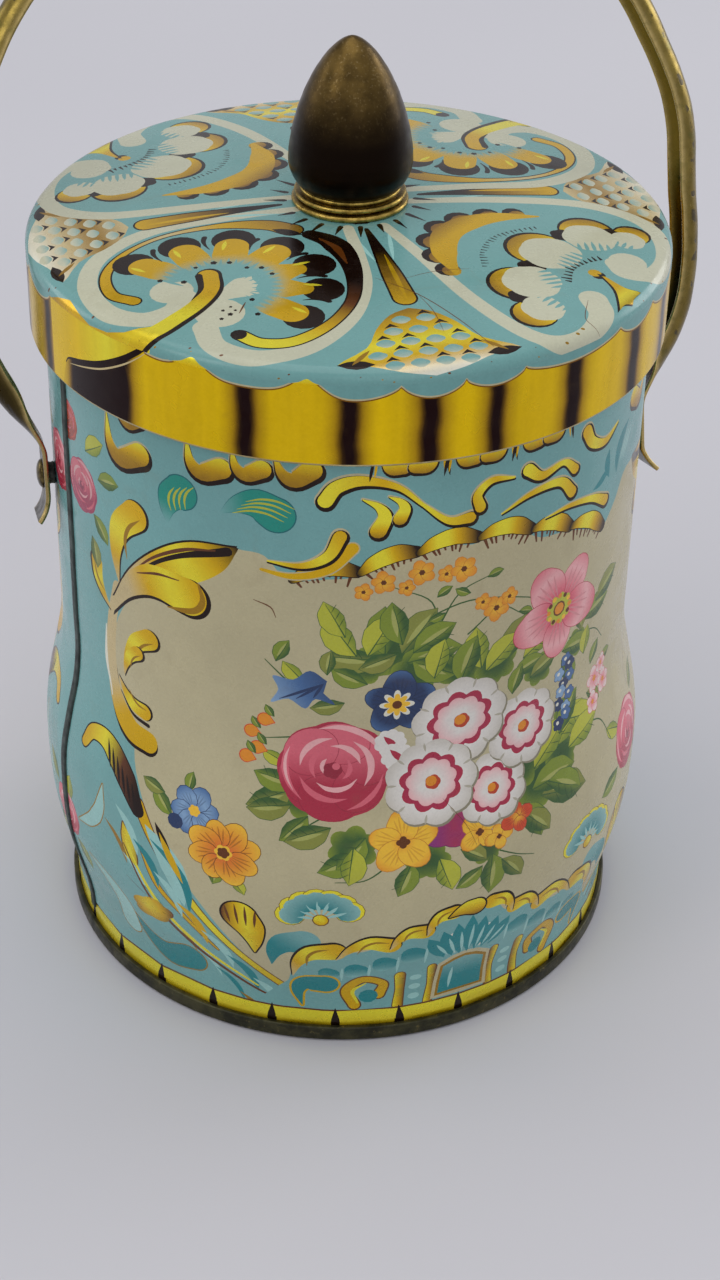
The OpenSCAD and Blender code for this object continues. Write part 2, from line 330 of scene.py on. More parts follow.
def inside(points, outline):
    """Which points lie inside an outline, by winding."""
    x, y = points[:, 0][:, None], points[:, 1][:, None]
    a, b = outline, np.roll(outline, -1, axis=0)
    cross = (b[:, 0] - a[:, 0]) * (y - a[:, 1]) - (x - a[:, 0]) * (b[:, 1] - a[:, 1])
    up = (a[:, 1] <= y) & (b[:, 1] > y) & (cross > 0)
    down = (a[:, 1] > y) & (b[:, 1] <= y) & (cross < 0)
    return (up.sum(1) - down.sum(1)) != 0


def triangulate(sheet, hull, grid, keep=None):
    """Cut a print into triangles. Returns points, triangles and the inks at each triangle's corners."""
    points, edges = [], []
    for outline in [hull] + [s[0] for s in sheet.shapes]:
        start = len(points)
        points += [Vector((float(x), float(y))) for x, y in outline]
        edges += [(start + i, start + (i + 1) % len(outline)) for i in range(len(outline))]
    points += [Vector((float(x), float(y))) for x, y in grid]
    out = delaunay_2d_cdt(points, edges, [], 0, 2e-3, False)
    verts = np.array([tuple(v) for v in out[0]])
    tris = np.array([f for f in out[2] if len(f) == 3])
    middle = verts[tris].mean(1)
    use = inside(middle, np.array(hull, float))
    if keep is not None:
        use &= keep(middle)
    tris, middle = tris[use], middle[use]
    top = np.full(len(tris), -1)
    for i, (outline, _) in enumerate(sheet.shapes):
        low, high = outline.min(0), outline.max(0)
        near = np.nonzero(((middle >= low) & (middle <= high)).all(1))[0]
        for part in np.array_split(near, max(1, len(near) * len(outline) // 4_000_000)):
            if len(part):
                top[part[inside(middle[part], outline)]] = i
    inks = np.zeros((len(tris), 3, 4))
    for i in np.unique(top):
        chosen = np.nonzero(top == i)[0]
        inks[chosen] = sheet.shapes[i][1](verts[tris[chosen]].reshape(-1, 2)).reshape(-1, 3, 4)
    return verts, tris, inks


def print_piece(name, verts, tris, inks, to_space, material, body, slot, replaces=()):
    """Bend a flat print onto the tin. to_space gives places in millimetres and outward directions."""
    used, tris = np.unique(tris, return_inverse=True)
    tris = tris.reshape(-1, 3)
    place, out = to_space(verts[used])
    a, b, c = (place[tris[:, i]] for i in range(3))
    face = np.cross(b - a, c - a)
    size = np.linalg.norm(face, axis=1)
    good = size > 1e-7
    tris, inks, face = tris[good], inks[good], face[good]
    wrong = (face * out[tris[:, 0]]).sum(1) < 0
    tris[wrong] = tris[wrong][:, ::-1]
    inks[wrong] = inks[wrong][:, ::-1]
    piece = finish_mesh(name, place * MM, tris, material, body, replaces, slot, normals=out)
    if len(piece.data.polygons) != len(tris):
        raise RuntimeError(f"{name} lost faces")
    layer = piece.data.attributes.new("print", "FLOAT_COLOR", "CORNER")
    layer.data.foreach_set("color", inks.reshape(-1).astype(np.float32))


def circle(r, steps, start=0.0):
    """Points evenly round a circle; start counts in steps."""
    turn = [2 * math.pi * (k + start) / steps for k in range(steps)]
    return [(r * math.cos(a), r * math.sin(a)) for a in turn]


def lathe(name, profile, material, body, steps=192, closed=True, axis=None, **more):
    """Turn a profile of (radius, height) points in millimetres round Z, or round another matrix's Z."""
    n = len(profile)
    verts, faces, rings = [], [], []
    for r, z in profile:
        ring = [(0, 0)] if r < 1e-6 else circle(r, steps)
        rings.append(range(len(verts), len(verts) + len(ring)))
        verts += [(x, y, z) for x, y in ring]
    for i in range(n if closed else n - 1):
        a, b = rings[i], rings[(i + 1) % n]
        if len(a) == 1 and len(b) == 1:
            continue
        for k in range(steps):
            m = (k + 1) % steps
            if len(a) == 1:
                faces.append((a[0], b[m], b[k]))
            elif len(b) == 1:
                faces.append((a[k], a[m], b[0]))
            else:
                faces.append((a[k], a[m], b[m], b[k]))
    verts = np.array(verts) * MM
    if axis is not None:
        verts = np.array([tuple(axis @ Vector(v)) for v in verts])
    return finish_mesh(name, verts, faces, material, body, **more)


def arc(cx, cy, r, a0, a1, n):
    """Points on an arc, angles in degrees."""
    a = np.radians(np.linspace(a0, a1, n + 1))
    return [(cx + r * math.cos(t), cy + r * math.sin(t)) for t in a]


# ---------------------------------------------------------------- materials
class Look:
    """Builds a procedural material. Sizes of patterns are given in millimetres."""

    def __init__(self, name):
        self.material = bpy.data.materials.new(name)
        self.material.use_nodes = True
        self.tree = self.material.node_tree
        self.shader = self.tree.nodes["Principled BSDF"]
        self.place = self.node("ShaderNodeTexCoord").outputs["Object"]

    def node(self, kind, **settings):
        n = self.tree.nodes.new(kind)
        for key, value in settings.items():
            setattr(n, key, value)
        return n

    def join(self, source, socket):
        if hasattr(source, "is_output"):
            self.tree.links.new(source, socket)
        elif hasattr(source, "__len__") and len(source) == 3 and len(socket.default_value) == 4:
            socket.default_value = (*source, 1)
        else:
            socket.default_value = source

    def stretch(self, x, y, z):
        """The place with each axis scaled, to draw a pattern out."""
        m = self.node("ShaderNodeMapping")
        self.join(self.place, m.inputs["Vector"])
        m.inputs["Scale"].default_value = (x, y, z)
        return m.outputs["Vector"]

    def noise(self, size, detail=3.0, rough=0.5, place=None, distortion=0.0):
        n = self.node("ShaderNodeTexNoise")
        self.join(place or self.place, n.inputs["Vector"])
        n.inputs["Scale"].default_value = 1 / (size * MM)
        n.inputs["Detail"].default_value = detail
        n.inputs["Roughness"].default_value = rough
        n.inputs["Distortion"].default_value = distortion
        return n.outputs["Fac"]

    def ramp(self, value, low, high, to_low=0.0, to_high=1.0):
        """Soft step from to_low to to_high as the value goes from low to high."""
        n = self.node("ShaderNodeMapRange", interpolation_type="SMOOTHSTEP")
        self.join(value, n.inputs["Value"])
        n.inputs["From Min"].default_value = low
        n.inputs["From Max"].default_value = high
        n.inputs["To Min"].default_value = to_low
        n.inputs["To Max"].default_value = to_high
        return n.outputs["Result"]

    def math(self, operation, a, b=0.0):
        n = self.node("ShaderNodeMath", operation=operation)
        self.join(a, n.inputs[0])
        self.join(b, n.inputs[1])
        return n.outputs[0]

    def mix(self, factor, a, b, blend="MIX"):
        n = self.node("ShaderNodeMix", data_type="RGBA", blend_type=blend)
        self.join(factor, n.inputs[0])
        self.join(a, n.inputs[6])
        self.join(b, n.inputs[7])
        return n.outputs[2]

    def height(self):
        n = self.node("ShaderNodeSeparateXYZ")
        self.join(self.place, n.inputs[0])
        return n.outputs["Z"]

    def attribute(self, name):
        return self.node("ShaderNodeAttribute", attribute_name=name)

    def done(self, colour, metal, rough, relief=None, relief_mm=0.02, coat=0.0, coat_rough=0.1):
        """Join the results to the shader and give back the material."""
        s = self.shader.inputs
        self.join(colour, s["Base Color"])
        self.join(metal, s["Metallic"])
        self.join(rough, s["Roughness"])
        s["Coat Weight"].default_value = coat
        s["Coat Roughness"].default_value = coat_rough
        if relief is not None:
            bump = self.node("ShaderNodeBump")
            bump.inputs["Strength"].default_value = 1.0
            bump.inputs["Distance"].default_value = relief_mm * MM
            self.join(relief, bump.inputs["Height"])
            self.join(bump.outputs["Normal"], s["Normal"])
        return self.material


def print_look(name, rough=0.26, coat=0.16, smudge=0.08):
    """Lithographed tinplate: inks from the mesh, under a glossy, slightly rubbed varnish."""
    k = Look(name)
    inks = k.attribute("print")
    tone = k.ramp(k.noise(28, 4, 0.6), 0.3, 0.7, 1 - smudge, 1 + smudge * 0.6)
    grain = k.ramp(k.noise(0.5, 2, 0.6), 0.3, 0.7, 0.97, 1.03)
    level = k.math("MULTIPLY", tone, grain)
    hue = k.mix(1.0, inks.outputs["Color"], level, "MULTIPLY")
    age = k.ramp(k.noise(9, 5, 0.65, distortion=0.6), 0.56, 0.8, 0.0, 0.16)
    hue = k.mix(age, hue, (0.22, 0.15, 0.06))
    rub = k.ramp(k.noise(1.1, 5, 0.75), 0.73, 0.78, 0.0, 0.75)
    hue = k.mix(rub, hue, (0.09, 0.06, 0.035))
    metal = k.math("MULTIPLY", inks.outputs["Alpha"], k.ramp(rub, 0, 1, 1.0, 0.4))
    worn = k.ramp(k.noise(6, 4, 0.7), 0.35, 0.75, rough - 0.06, rough + 0.16)
    dents = k.math("MULTIPLY", k.noise(14, 1, 0.3), 6.0)
    peel = k.math("ADD", dents, k.math("MULTIPLY", k.noise(1.2, 1, 0.4), 0.1))
    k.shader.inputs["Specular IOR Level"].default_value = 0.4
    return k.done(hue, metal, worn, peel, 0.02, coat, 0.12)


def skirt_look(name):
    """The lid's gold band: as the print, with a more metallic lacquer and fine vertical drawing marks."""
    k = Look(name)
    inks = k.attribute("print")
    grain = k.ramp(k.noise(0.5, 2, 0.6), 0.3, 0.7, 0.97, 1.03)
    drawn = k.ramp(k.noise(2.4, 2, 0.5, k.stretch(1, 1, 0.1)), 0.3, 0.7, 0.95, 1.04)
    hue = k.mix(1.0, inks.outputs["Color"], k.math("MULTIPLY", grain, drawn), "MULTIPLY")
    age = k.ramp(k.noise(9, 5, 0.6, distortion=0.6), 0.58, 0.82, 0.0, 0.16)
    hue = k.mix(age, hue, (0.14, 0.08, 0.02))
    rub = k.ramp(k.noise(1.0, 5, 0.75), 0.73, 0.78, 0.0, 0.7)
    hue = k.mix(rub, hue, (0.07, 0.04, 0.02))
    metal = k.math("MULTIPLY", inks.outputs["Alpha"], k.ramp(k.noise(3, 3), 0.3, 0.7, 0.9, 1.0))
    worn = k.ramp(k.noise(7, 3, 0.6), 0.35, 0.75, 0.2, 0.3)
    peel = k.math("ADD", k.math("MULTIPLY", k.noise(15, 1, 0.3), 6.0),
                  k.math("MULTIPLY", k.noise(1.4, 1, 0.4), 0.08))
    k.shader.inputs["Specular IOR Level"].default_value = 0.3
    return k.done(hue, metal, worn, peel, 0.02, 0.03, 0.14)


def strap_look(name):
    """Worn brass strip: bright lips, a brown channel, rows of dark dashes outside, and painted shade on its
    lower legs.
    """
    k = Look(name)
    edge = k.attribute("wear").outputs["Fac"]
    groove = k.attribute("groove").outputs["Fac"]
    row = k.attribute("row").outputs["Fac"]
    tarnish = k.ramp(k.noise(5, 4, 0.6), 0.32, 0.68)
    hue = k.mix(tarnish, (0.15, 0.105, 0.016), (0.26, 0.185, 0.034))
    bright = k.math("MULTIPLY", edge, k.ramp(k.noise(1.8, 4, 0.65), 0.25, 0.6, 0.6, 1.0))
    hue = k.mix(bright, hue, (0.56, 0.42, 0.17))
    green = k.ramp(k.noise(2.4, 4, 0.6), 0.5, 0.7, 0.0, 0.5)
    hue = k.mix(green, hue, (0.14, 0.13, 0.034))
    hue = k.mix(k.math("MULTIPLY", groove, 0.93), hue, (0.2, 0.134, 0.018))
    dash = k.math("MULTIPLY", k.ramp(row, 0.45, 0.8), k.ramp(k.noise(2.2, 2, 0.5), 0.56, 0.62, 0.0, 0.85))
    marks = k.math("MAXIMUM", dash, k.ramp(k.noise(1.1, 4, 0.75, distortion=0.4), 0.66, 0.72, 0.0, 0.6))
    hue = k.mix(marks, hue, (0.05, 0.035, 0.012))
    # painted shade: the lower legs, the left one most and the channel, are darkened as if in shadow
    painted_shade = k.attribute("painted_shade").outputs["Fac"]
    hue = k.mix(painted_shade, hue, (0.014, 0.009, 0.004))
    rough = k.ramp(k.noise(2, 4, 0.7), 0.3, 0.7, 0.2, 0.4)
    metal = k.ramp(marks, 0, 1, 0.95, 0.5)
    relief = k.math("SUBTRACT", k.math("MULTIPLY", k.noise(1.6, 3, 0.5), 0.6),
                    k.math("MULTIPLY", marks, 0.6))
    return k.done(hue, metal, rough, relief, 0.04)


def knob_look(name):
    """Turned knob with a dark patina, lighter brown gold towards its tip: partly rubbing, partly painted
    overhead light.
    """
    k = Look(name)
    z = k.height()
    # rubbing and painted light: the knob lightens with height, standing in for the overhead lamp's sheen on
    # its top as well as wear at the tip; the bright flecks also grow upwards
    up = k.ramp(z, (knob_low[2] + 9) * MM, (knob_high[2] - 1) * MM, 0.0, 1.0)
    mottle = k.ramp(k.noise(3.2, 5, 0.6, distortion=0.3), 0.3, 0.7, 0.5, 1.0)
    rub = k.math("MULTIPLY", up, mottle)
    hue = k.mix(rub, (0.008, 0.0035, 0.0012), (0.18, 0.112, 0.03))
    fleck = k.ramp(k.noise(0.5, 3, 0.65), 0.55, 0.7, 0.0, 0.35)
    hue = k.mix(k.math("MULTIPLY", fleck, up), hue, (0.42, 0.31, 0.15))
    rough = k.ramp(k.noise(2.5, 4, 0.6), 0.3, 0.7, 0.28, 0.4)
    k.shader.inputs["Specular IOR Level"].default_value = 0.3
    relief = k.math("ADD", k.math("MULTIPLY", k.noise(0.7, 3, 0.6), 0.5),
                    k.math("MULTIPLY", k.noise(0.6, 2, 0.5, k.stretch(0.05, 0.05, 1)), 0.2))
    return k.done(hue, k.ramp(rub, 0, 1, 0.85, 0.9), rough, relief, 0.03)


def brass_look(name, bright, dark, patch=2.5, shaded_grooves=None):
    """Lacquered brass, with painted shade at the given heights of its steps."""
    k = Look(name)
    tone = k.ramp(k.noise(patch, 5, 0.7), 0.35, 0.65)
    hue = k.mix(tone, dark, bright)
    if shaded_grooves:
        z = k.height()
        for at in shaded_grooves:
            away = k.math("ABSOLUTE", k.math("SUBTRACT", z, at * MM))
            # painted shade: the colour darkens within about a third of a millimetre of each given height,
            # as in the shade of a step
            deep = k.ramp(away, 0.05 * MM, 0.35 * MM, 0.75, 0.0)
            hue = k.mix(deep, hue, (0.05, 0.03, 0.012))
    spots = k.ramp(k.noise(0.7, 4, 0.7), 0.62, 0.72, 0.0, 0.7)
    hue = k.mix(spots, hue, dark)
    rough = k.ramp(k.noise(1.5, 4, 0.7), 0.3, 0.7, 0.18, 0.38)
    return k.done(hue, 0.95, rough, k.noise(0.8, 3, 0.6), 0.03)


def steel_look(name, light, dark, rough_low, rough_high, metal=0.9):
    """Plain or blackened steel with drawing marks and stains."""
    k = Look(name)
    hue = k.mix(k.ramp(k.noise(3, 5, 0.7), 0.35, 0.65), dark, light)
    stain = k.ramp(k.noise(1.2, 5, 0.75), 0.6, 0.75, 0.0, 0.6)
    hue = k.mix(stain, hue, (0.09, 0.06, 0.035))
    rough = k.ramp(k.noise(1.6, 4, 0.7), 0.3, 0.7, rough_low, rough_high)
    return k.done(hue, metal, rough, k.noise(0.7, 4, 0.6), 0.02)


def ring_look(name):
    """The base: dark olive lacquer, rubbed to bare metal in flecks along the rolled edge."""
    k = Look(name)
    hue = k.mix(k.ramp(k.noise(5, 5, 0.7), 0.35, 0.65), (0.02, 0.02, 0.01), (0.07, 0.065, 0.028))
    fleck = k.ramp(k.noise(1.3, 5, 0.75), 0.58, 0.7, 0.0, 0.7)
    hue = k.mix(fleck, hue, (0.24, 0.19, 0.08))
    rough = k.ramp(k.noise(2, 4, 0.7), 0.3, 0.7, 0.3, 0.55)
    return k.done(hue, k.ramp(fleck, 0, 1, 0.6, 0.9), rough, k.noise(1.2, 4, 0.6), 0.05)


def inside_look(name):
    """The inside: gold-lacquered tinplate with faint rolling marks and scuffs."""
    k = Look(name)
    roll = k.ramp(k.noise(1.2, 3, 0.6, k.stretch(1, 1, 0.06)), 0.3, 0.7, 0.9, 1.06)
    hue = k.mix(k.ramp(k.noise(18, 4, 0.6), 0.35, 0.65), (0.46, 0.36, 0.17), (0.58, 0.49, 0.27))
    hue = k.mix(1.0, hue, roll, "MULTIPLY")
    scuff = k.ramp(k.noise(2.2, 5, 0.75), 0.64, 0.74, 0.0, 0.5)
    hue = k.mix(scuff, hue, (0.3, 0.29, 0.26))
    rough = k.ramp(k.noise(4, 4, 0.7), 0.3, 0.7, 0.26, 0.44)
    return k.done(hue, 0.9, rough, k.noise(10, 2, 0.5), 0.06)


# ---------------------------------------------------------------- the lid's print
def gold_petal(s, root, head, r, dark=False):
    """A gold petal with a dark tip, feathered into the ground colour at its root."""
    d = (head - root) / np.linalg.norm(head - root)
    side = np.array([-d[1], d[0]])
    tip = head + d * 0.3
    r *= 0.93
    s.blob(tip[0], tip[1], r * 1.06, BROWN)
    s.band([root, (root + head) / 2, head - d * r * (0.9 if dark else 0.6)],
           [1.4 * r, 1.7 * r, (1.1 if dark else 1.66) * r],
           fade(root, head + d * r * 0.6, TEAL_LID, GOLD, GOLD, BROWN_WARM if dark else GOLD), steps=5)
    for i in range(-2, 3):
        foot = root - d * r * 0.9 + side * i * r * 0.36
        s.leaf(foot, foot + d * (r * 0.9 + 2.4 - abs(i) * 0.4), 0.7, TEAL_LID)
    s.leaf(head - d * r * 0.9 + side * r * 0.4, head + side * r * 0.36, r * 0.22, GOLD_PALE)


# azimuth, height and relative width of the points that the lid's gold band sends up over the shoulder
GOLD_POINTS = ((-37.2, 1.5, 1.0), (-17.7, 0.9, 0.66))


def fan_panel(s):
    """Panel with two cream scrolls, a fan of gold petals and a hooked stem."""
    s.band([(-10, -2.6), (-22, -3.2), (-36, -4.6), (-45.5, -11), (-48.8, -20), (-46.8, -29), (-41.5, -33.6),
            (-36, -32.6), (-33.6, -29)], [2, 2.3, 2.6, 3, 3.2, 3.4, 3.8, 4.2, 4.6], CREAM_LID)
    s.blob(-35.4, -26.4, 3.7, CREAM_LID)
    s.band([(-2.6, -11.5), (-2.7, -22), (-3.8, -32), (-8.2, -41.5), (-16, -48.2), (-24.5, -49.2),
            (-30.6, -44.8), (-31.6, -38.8)], [2, 2.3, 2.6, 3, 3.2, 3.6, 4, 4.2], CREAM_LID)
    s.blob(-28.6, -35.2, 4.2, CREAM_LID)
    s.band([(-27, -30), (-23.6, -28.4), (-19.6, -27.4)], [3, 6.6, 4.6], CREAM_LID)
    rim = [(-74, 0.8), (-70, -1), (-66.4, -2), (-63, -1.1), (-59.5, -0.2), (-55, -0.6), (-51.5, -1.8),
           (-48, -5), (-45.6, -5), (-45.4, 2), (-60, 2), (-74, 2)]
    s.draw([((LID_EDGE + off) * math.sin(math.radians(a)), -(LID_EDGE + off) * math.cos(math.radians(a)))
            for a, off in rim], fade((-56, -16), (-40, -40), GOLD_DULL, GOLD, GOLD, GOLD_PALE))
    hump = ((-5.6, -0.5), (-4.2, 0.06), (-2.2, 0.4), (-0.3, 1), (1.4, 0.4), (2.8, 0.06), (4.0, -0.5))
    # painted highlight: each gold point pales towards its tip
    for a, high, wide in GOLD_POINTS:
        s.place(turn=a)
        s.draw(spline([(x * wide, y * high - LID_EDGE) for x, y in hump], 4),
               fade((0, -LID_EDGE), (0, high - LID_EDGE), GOLD_SKIRT, GOLD_PALE))
        s.done()
    s.band([(-12.4, -10.4), (-16.5, -7.6), (-25, -6.0), (-34.5, -7.2), (-41.6, -11.4), (-45.4, -17.6),
            (-45.2, -24.2), (-41.8, -27.6)], [4.0, 3.0, 1.4, 0.9, 0.9, 1.5, 1.9, 2.2],
           fade((-12, -10), (-44, -26), GOLD_DULL, GOLD, TAN, GOLD, GOLD), outline=BROWN, line=0.3)
    s.leaf((-15.6, -9.6), (-10.8, -12.6), 2.0, BROWN)
    s.band([(-9.4, -12.8), (-6.4, -16.2), (-4.8, -22), (-4.9, -29), (-6.8, -36.2), (-11.6, -42.4),
            (-18, -46), (-23.4, -45.4), (-26.4, -42.4)], [2.6, 4.2, 3.0, 2.2, 1.8, 1.8, 2.2, 2.4, 2.4],
           fade((-5, -22), (-20, -46), BROWN, BROWN, BROWN_WARM, GOLD, GOLD_PALE), outline=BROWN, line=0.3)
    s.band([(-8.2, -14.6), (-6.0, -18.4), (-5.2, -24)], [0.4, 1.5, 0.3], BROWN_WARM)
    s.blob(-26.6, -42.2, 1.4, BROWN)
    middle, long = np.array((-27, -27.5)), 8.5
    for head, r, dark in (((-40.2, -15.6), 3.7, 0), ((-32.0, -12.2), 3.8, 0), ((-22.8, -12.2), 3.9, 0),
                          ((-15.2, -16.6), 3.9, 0), ((-11.0, -23.6), 3.8, 1), ((-11.0, -31.6), 3.7, 1),
                          ((-15.6, -39.2), 3.6, 0)):
        head = np.array(head)
        gold_petal(s, head + (middle - head) * (long / np.linalg.norm(middle - head)), head, r, dark)
    for head, tail in (((-36.6, -11.6), (-35.6, -16)), ((-27.4, -9.6), (-27.2, -14.2)),
                       ((-18.6, -12.6), (-20.6, -16)), ((-9.6, -27.6), (-14.4, -27.4)),
                       ((-10.4, -35.6), (-14.6, -34.4)), ((-11.4, -19.4), (-15, -21))):
        s.drop(tail, head, 0.5, BROWN, bend=0.1)
    for x, y, r in ((-36.8, -22.4, 0.5), (-33, -24, 0.55), (-27.2, -19, 0.6), (-24.6, -19.6, 0.5),
                    (-22, -22, 0.45), (-19.6, -22.6, 0.5), (-18.2, -25, 0.45), (-22.8, -32.4, 0.5),
                    (-22.6, -37, 0.5), (-30.4, -19.8, 0.4)):
        s.blob(x, y, r, BROWN, lobes=5, depth=0.2)
    s.band([(-28.6, -22.9), (-28.8, -27.6), (-31.4, -31.9), (-35.4, -35.6), (-39.6, -38.7), (-44.6, -40.6)],
           [4.4, 3.8, 3.4, 3.4, 3.2, 1.4], BROWN)
    s.band([(-28.8, -22.9), (-29.1, -27.4), (-31.8, -31.5), (-35.9, -35.0), (-40.2, -37.9), (-45.4, -39.2)],
           [3.6, 3.0, 2.9, 3.0, 3.2, 2.6],
           fade((-28, -22), (-45, -40), GOLD, GOLD, GOLD_PALE, GOLD_PALE, GOLD))
    s.band([(-30.3, -22.6), (-30.6, -27), (-32.6, -30.2)], [1.3, 1.0, 0.1], BROWN)


def shell_panel(s):
    """Panel with cream bands that curl at the rim, a gold crescent and a scalloped shell."""
    s.band([(10, -2.4), (28, -2.8), (42, -4.4), (50, -9.6), (52.4, -17), (51.0, -25), (47, -30.2),
            (42.4, -30), (41.4, -26.8)], [2, 2.3, 2.6, 2.8, 3, 3.2, 3.6, 4, 4], CREAM_LID)
    s.blob(43.6, -26.4, 3.4, CREAM_LID)
    s.band([(3.8, -11.5), (7.8, -23), (12.8, -37), (18.8, -47.4), (24.2, -51.2), (30, -49.4), (34, -44),
            (34, -38.6)], [2, 2.3, 2.6, 2.8, 3, 3.4, 4, 5], CREAM_LID)
    lobes = ((11.6, -28.4, 1.7), (10.9, -23.6, 2.2), (11.2, -18.4, 2.4), (13.6, -13.8, 2.4),
             (17.8, -10.8, 2.3), (23.0, -9.2, 2.0), (28, -8.6, 1.5))
    for x, y, r in lobes:
        s.blob(x - 0.3, y + 0.3, r + 0.55, BROWN)
    for x, y, r in lobes:
        s.blob(x + 0.3, y - 0.3, r, fade((x - r, y + r), (x + r, y - r), BROWN_WARM, GOLD_DULL, GOLD))
    s.band([(12.6, -29.8), (12.0, -23), (13.8, -16.2), (18.4, -12), (24.6, -9.8), (32, -9.6)],
           [0.8, 4.4, 5.2, 5.0, 3.2, 0.5], fade((11, -15), (16, -20), GOLD_DULL, GOLD, GOLD))
    s.fringe([(31, -10.8), (25, -11.8), (20.2, -14.4), (16.4, -18.6), (15.4, -24), (15.4, -29)], -1.4, 0.9,
             0.5, TEAL_LID)
    s.fringe([(17.4, -28), (18.2, -22.8), (21.2, -17.8), (25.8, -15), (31, -13.4)], 1.2, 0.98, 0.36, BROWN,
             wobble=0.08)
    middle = np.array((38.5, -30.0))
    shells = ((46.0, -18.2, 3.2), (24.6, -41.4, 3.8), (39.2, -17.6, 4.9), (30.6, -23.4, 5.6),
              (24.8, -33.0, 5.2))
    outwards = [((x, y) - middle) / np.linalg.norm((x, y) - middle) for x, y, _ in shells]
    for (x, y, r), away in zip(shells, outwards):
        gold = (x, y) + away * 2.6
        s.blob(*gold, r + 0.3, BROWN)
        s.blob(*(gold - away * 0.35), r * 0.99, fade(gold + away * r, (x, y), GOLD_DULL, GOLD, GOLD_PALE))
    for x, y, r in ((34.4, -16.8, 2.2), (26.0, -28.2, 2.6), (21.6, -37.6, 2.2), (43.4, -15.6, 1.8)):
        s.blob(x, y, r, BROWN, lobes=5, depth=0.12)
    for (x, y, r), away in zip(shells, outwards):
        across = np.array((-away[1], away[0]))
        s.blob(x, y, r, CREAM_LID, lobes=6, depth=0.05)
        for i in (-2.6, -1.3, 0, 1.3, 2.6):
            foot = (x, y) - away * (r * 1.2) + across * i
            s.leaf(foot, foot + away * (r * 0.9 - abs(i) * 0.3), 0.75, TEAL_LID)
    s.fringe([(31.6, -33.6), (33.2, -29.4), (36.4, -26.8), (40, -25.4)], -1.7, 1.0, 0.6, BROWN, wobble=0.08)
    s.blob(37.1, -31.0, 1.25, BROWN)
    s.blob(36.6, -30.2, 1.2, GOLD)
    star = np.vstack([spline(side, 5) for side in (
        [(37.6, -31.2), (38.7, -36), (37.9, -41.8)], [(37.9, -41.8), (39.2, -40.2), (40.9, -39.6)],
        [(40.9, -39.6), (41.4, -38.2), (43.1, -36.2)], [(43.1, -36.2), (40.7, -35.0), (38.2, -31.4)])])
    s.draw(star.mean(0) + (star - star.mean(0)) * 1.14 + (-0.3, -0.1), BROWN)
    s.draw(star, fade((38, -33), (42.6, -38), GOLD, GOLD, GOLD_PALE, GOLD_DULL))


def divider(s, dull):
    """Gold drop between two panels, aimed at a patch of gold scales on the rim, painted pale towards the
    rim as a highlight.
    """
    s.drop((-0.2, -12.5), (0.2, -36.6), 1.9, fade((0, -12), (0, -38), BROWN, BROWN, GOLD_DULL, GOLD),
           outline=BROWN, line=0.35)
    s.leaf((0.5, -22), (0.5, -37.4), 0.9, GOLD)
    half = [(0, -39.6), (3.6, -41.2), (6.8, -44.8), (9.6, -49.6), (15.4, -53.2), (10.8, -54.4),
            (5.4, -56.6), (0, -57.8)]
    outline = spline(half, 3)
    outline = np.vstack([outline, (outline * (-1, 1))[::-1][1:-1]])
    stops = (TAN, GOLD_DULL, TAN) if dull else (GOLD_DULL, GOLD, GOLD_PALE, GOLD)
    # painted highlight: the scales pale to cream towards the rim
    s.draw(outline, fade((0, -40), (2, -57), *stops, CREAM_PALE))
    for side in (-1, 1):
        s.leaf((side * 15.4, -53.2), (side * 9.4, -54.2), 2.2, BROWN)
        s.leaf((side * 13, -53.6), (side * 9.4, -50.4), 0.9, GOLD_DULL)
    for row, (y, n) in enumerate(((-42.8, 2), (-45.9, 3), (-49.0, 4), (-52.1, 5), (-55.0, 4))):
        for i in range(n):
            x = (i - (n - 1) / 2) * 4.2
            s.blob(x, y, 1.62,
                   fade((x, y + 1.2), (x, y - 1.3), TEAL_LID, CREAM_LID if dull else TEAL_LID, CREAM_LID),
                   squash=0.7, lobes=4, depth=0.12)
            if (i * 2 + row) % 3:
                s.draw([(x - 1.3, y + 1.0), (x, y + 2.3), (x + 1.3, y + 1.0), (x, y + 1.4)], BROWN)


def lid_print():
    """The lid's top, laid flat: two panels and two dividers, repeated after half a turn."""
    s = Print()
    s.draw(arc(0, 0, LID_R + 3, 0, 360, 90)[:-1], TEAL_LID)
    for half in (0, 180):
        s.place(turn=half)
        for turn in (3, 92):
            s.place(turn=turn)
            for side in (-1, 1):
                s.leaf((side * 3.4, -13.5), (side * 1.6, -24), 0.8, TEAL_PALE)
            divider(s, turn == 92)
            s.done()
        fan_panel(s)
        shell_panel(s)
        for a in range(-80, 90, 17):
            s.place(turn=a + 8)
            s.drop((0, -14.4 - (a % 5) * 0.3), (0.4, -11.6), 0.5, BROWN)
            s.done()
        s.done()
    for x, y, r in ((-27, -36, 0.5), (-28, -34.6, 0.35), (-26, -35, 0.3), (-28.6, -37, 0.4),
                    (-26.6, -33.8, 0.3)):
        s.blob(x, y, r, BROWN, lobes=5, depth=0.3)
    for path, w in (([(-1.5, -29.5), (4.5, -35.5), (9.5, -43.5), (13.6, -52)], 0.2),
                    ([(3.2, -30.4), (9, -28.6), (15, -28.2)], 0.14),
                    ([(4.5, -35.5), (6, -41), (6.4, -47)], 0.13),
                    ([(33, -39), (31, -45), (33.5, -48)], 0.14), ([(-24, -33), (-25.5, -36)], 0.3)):
        s.band(path, [w * 0.4, w, w, w * 0.4], BROWN_WARM, steps=5)
    for _ in range(60):
        a, r = rng.uniform(0, 2 * math.pi), 56.4 + rng.uniform(-0.6, 2.0)
        s.blob(r * math.cos(a), r * math.sin(a), rng.uniform(0.12, 0.42),
               rng.choice([GOLD_DULL, BROWN_WARM]), squash=0.6)
    return s


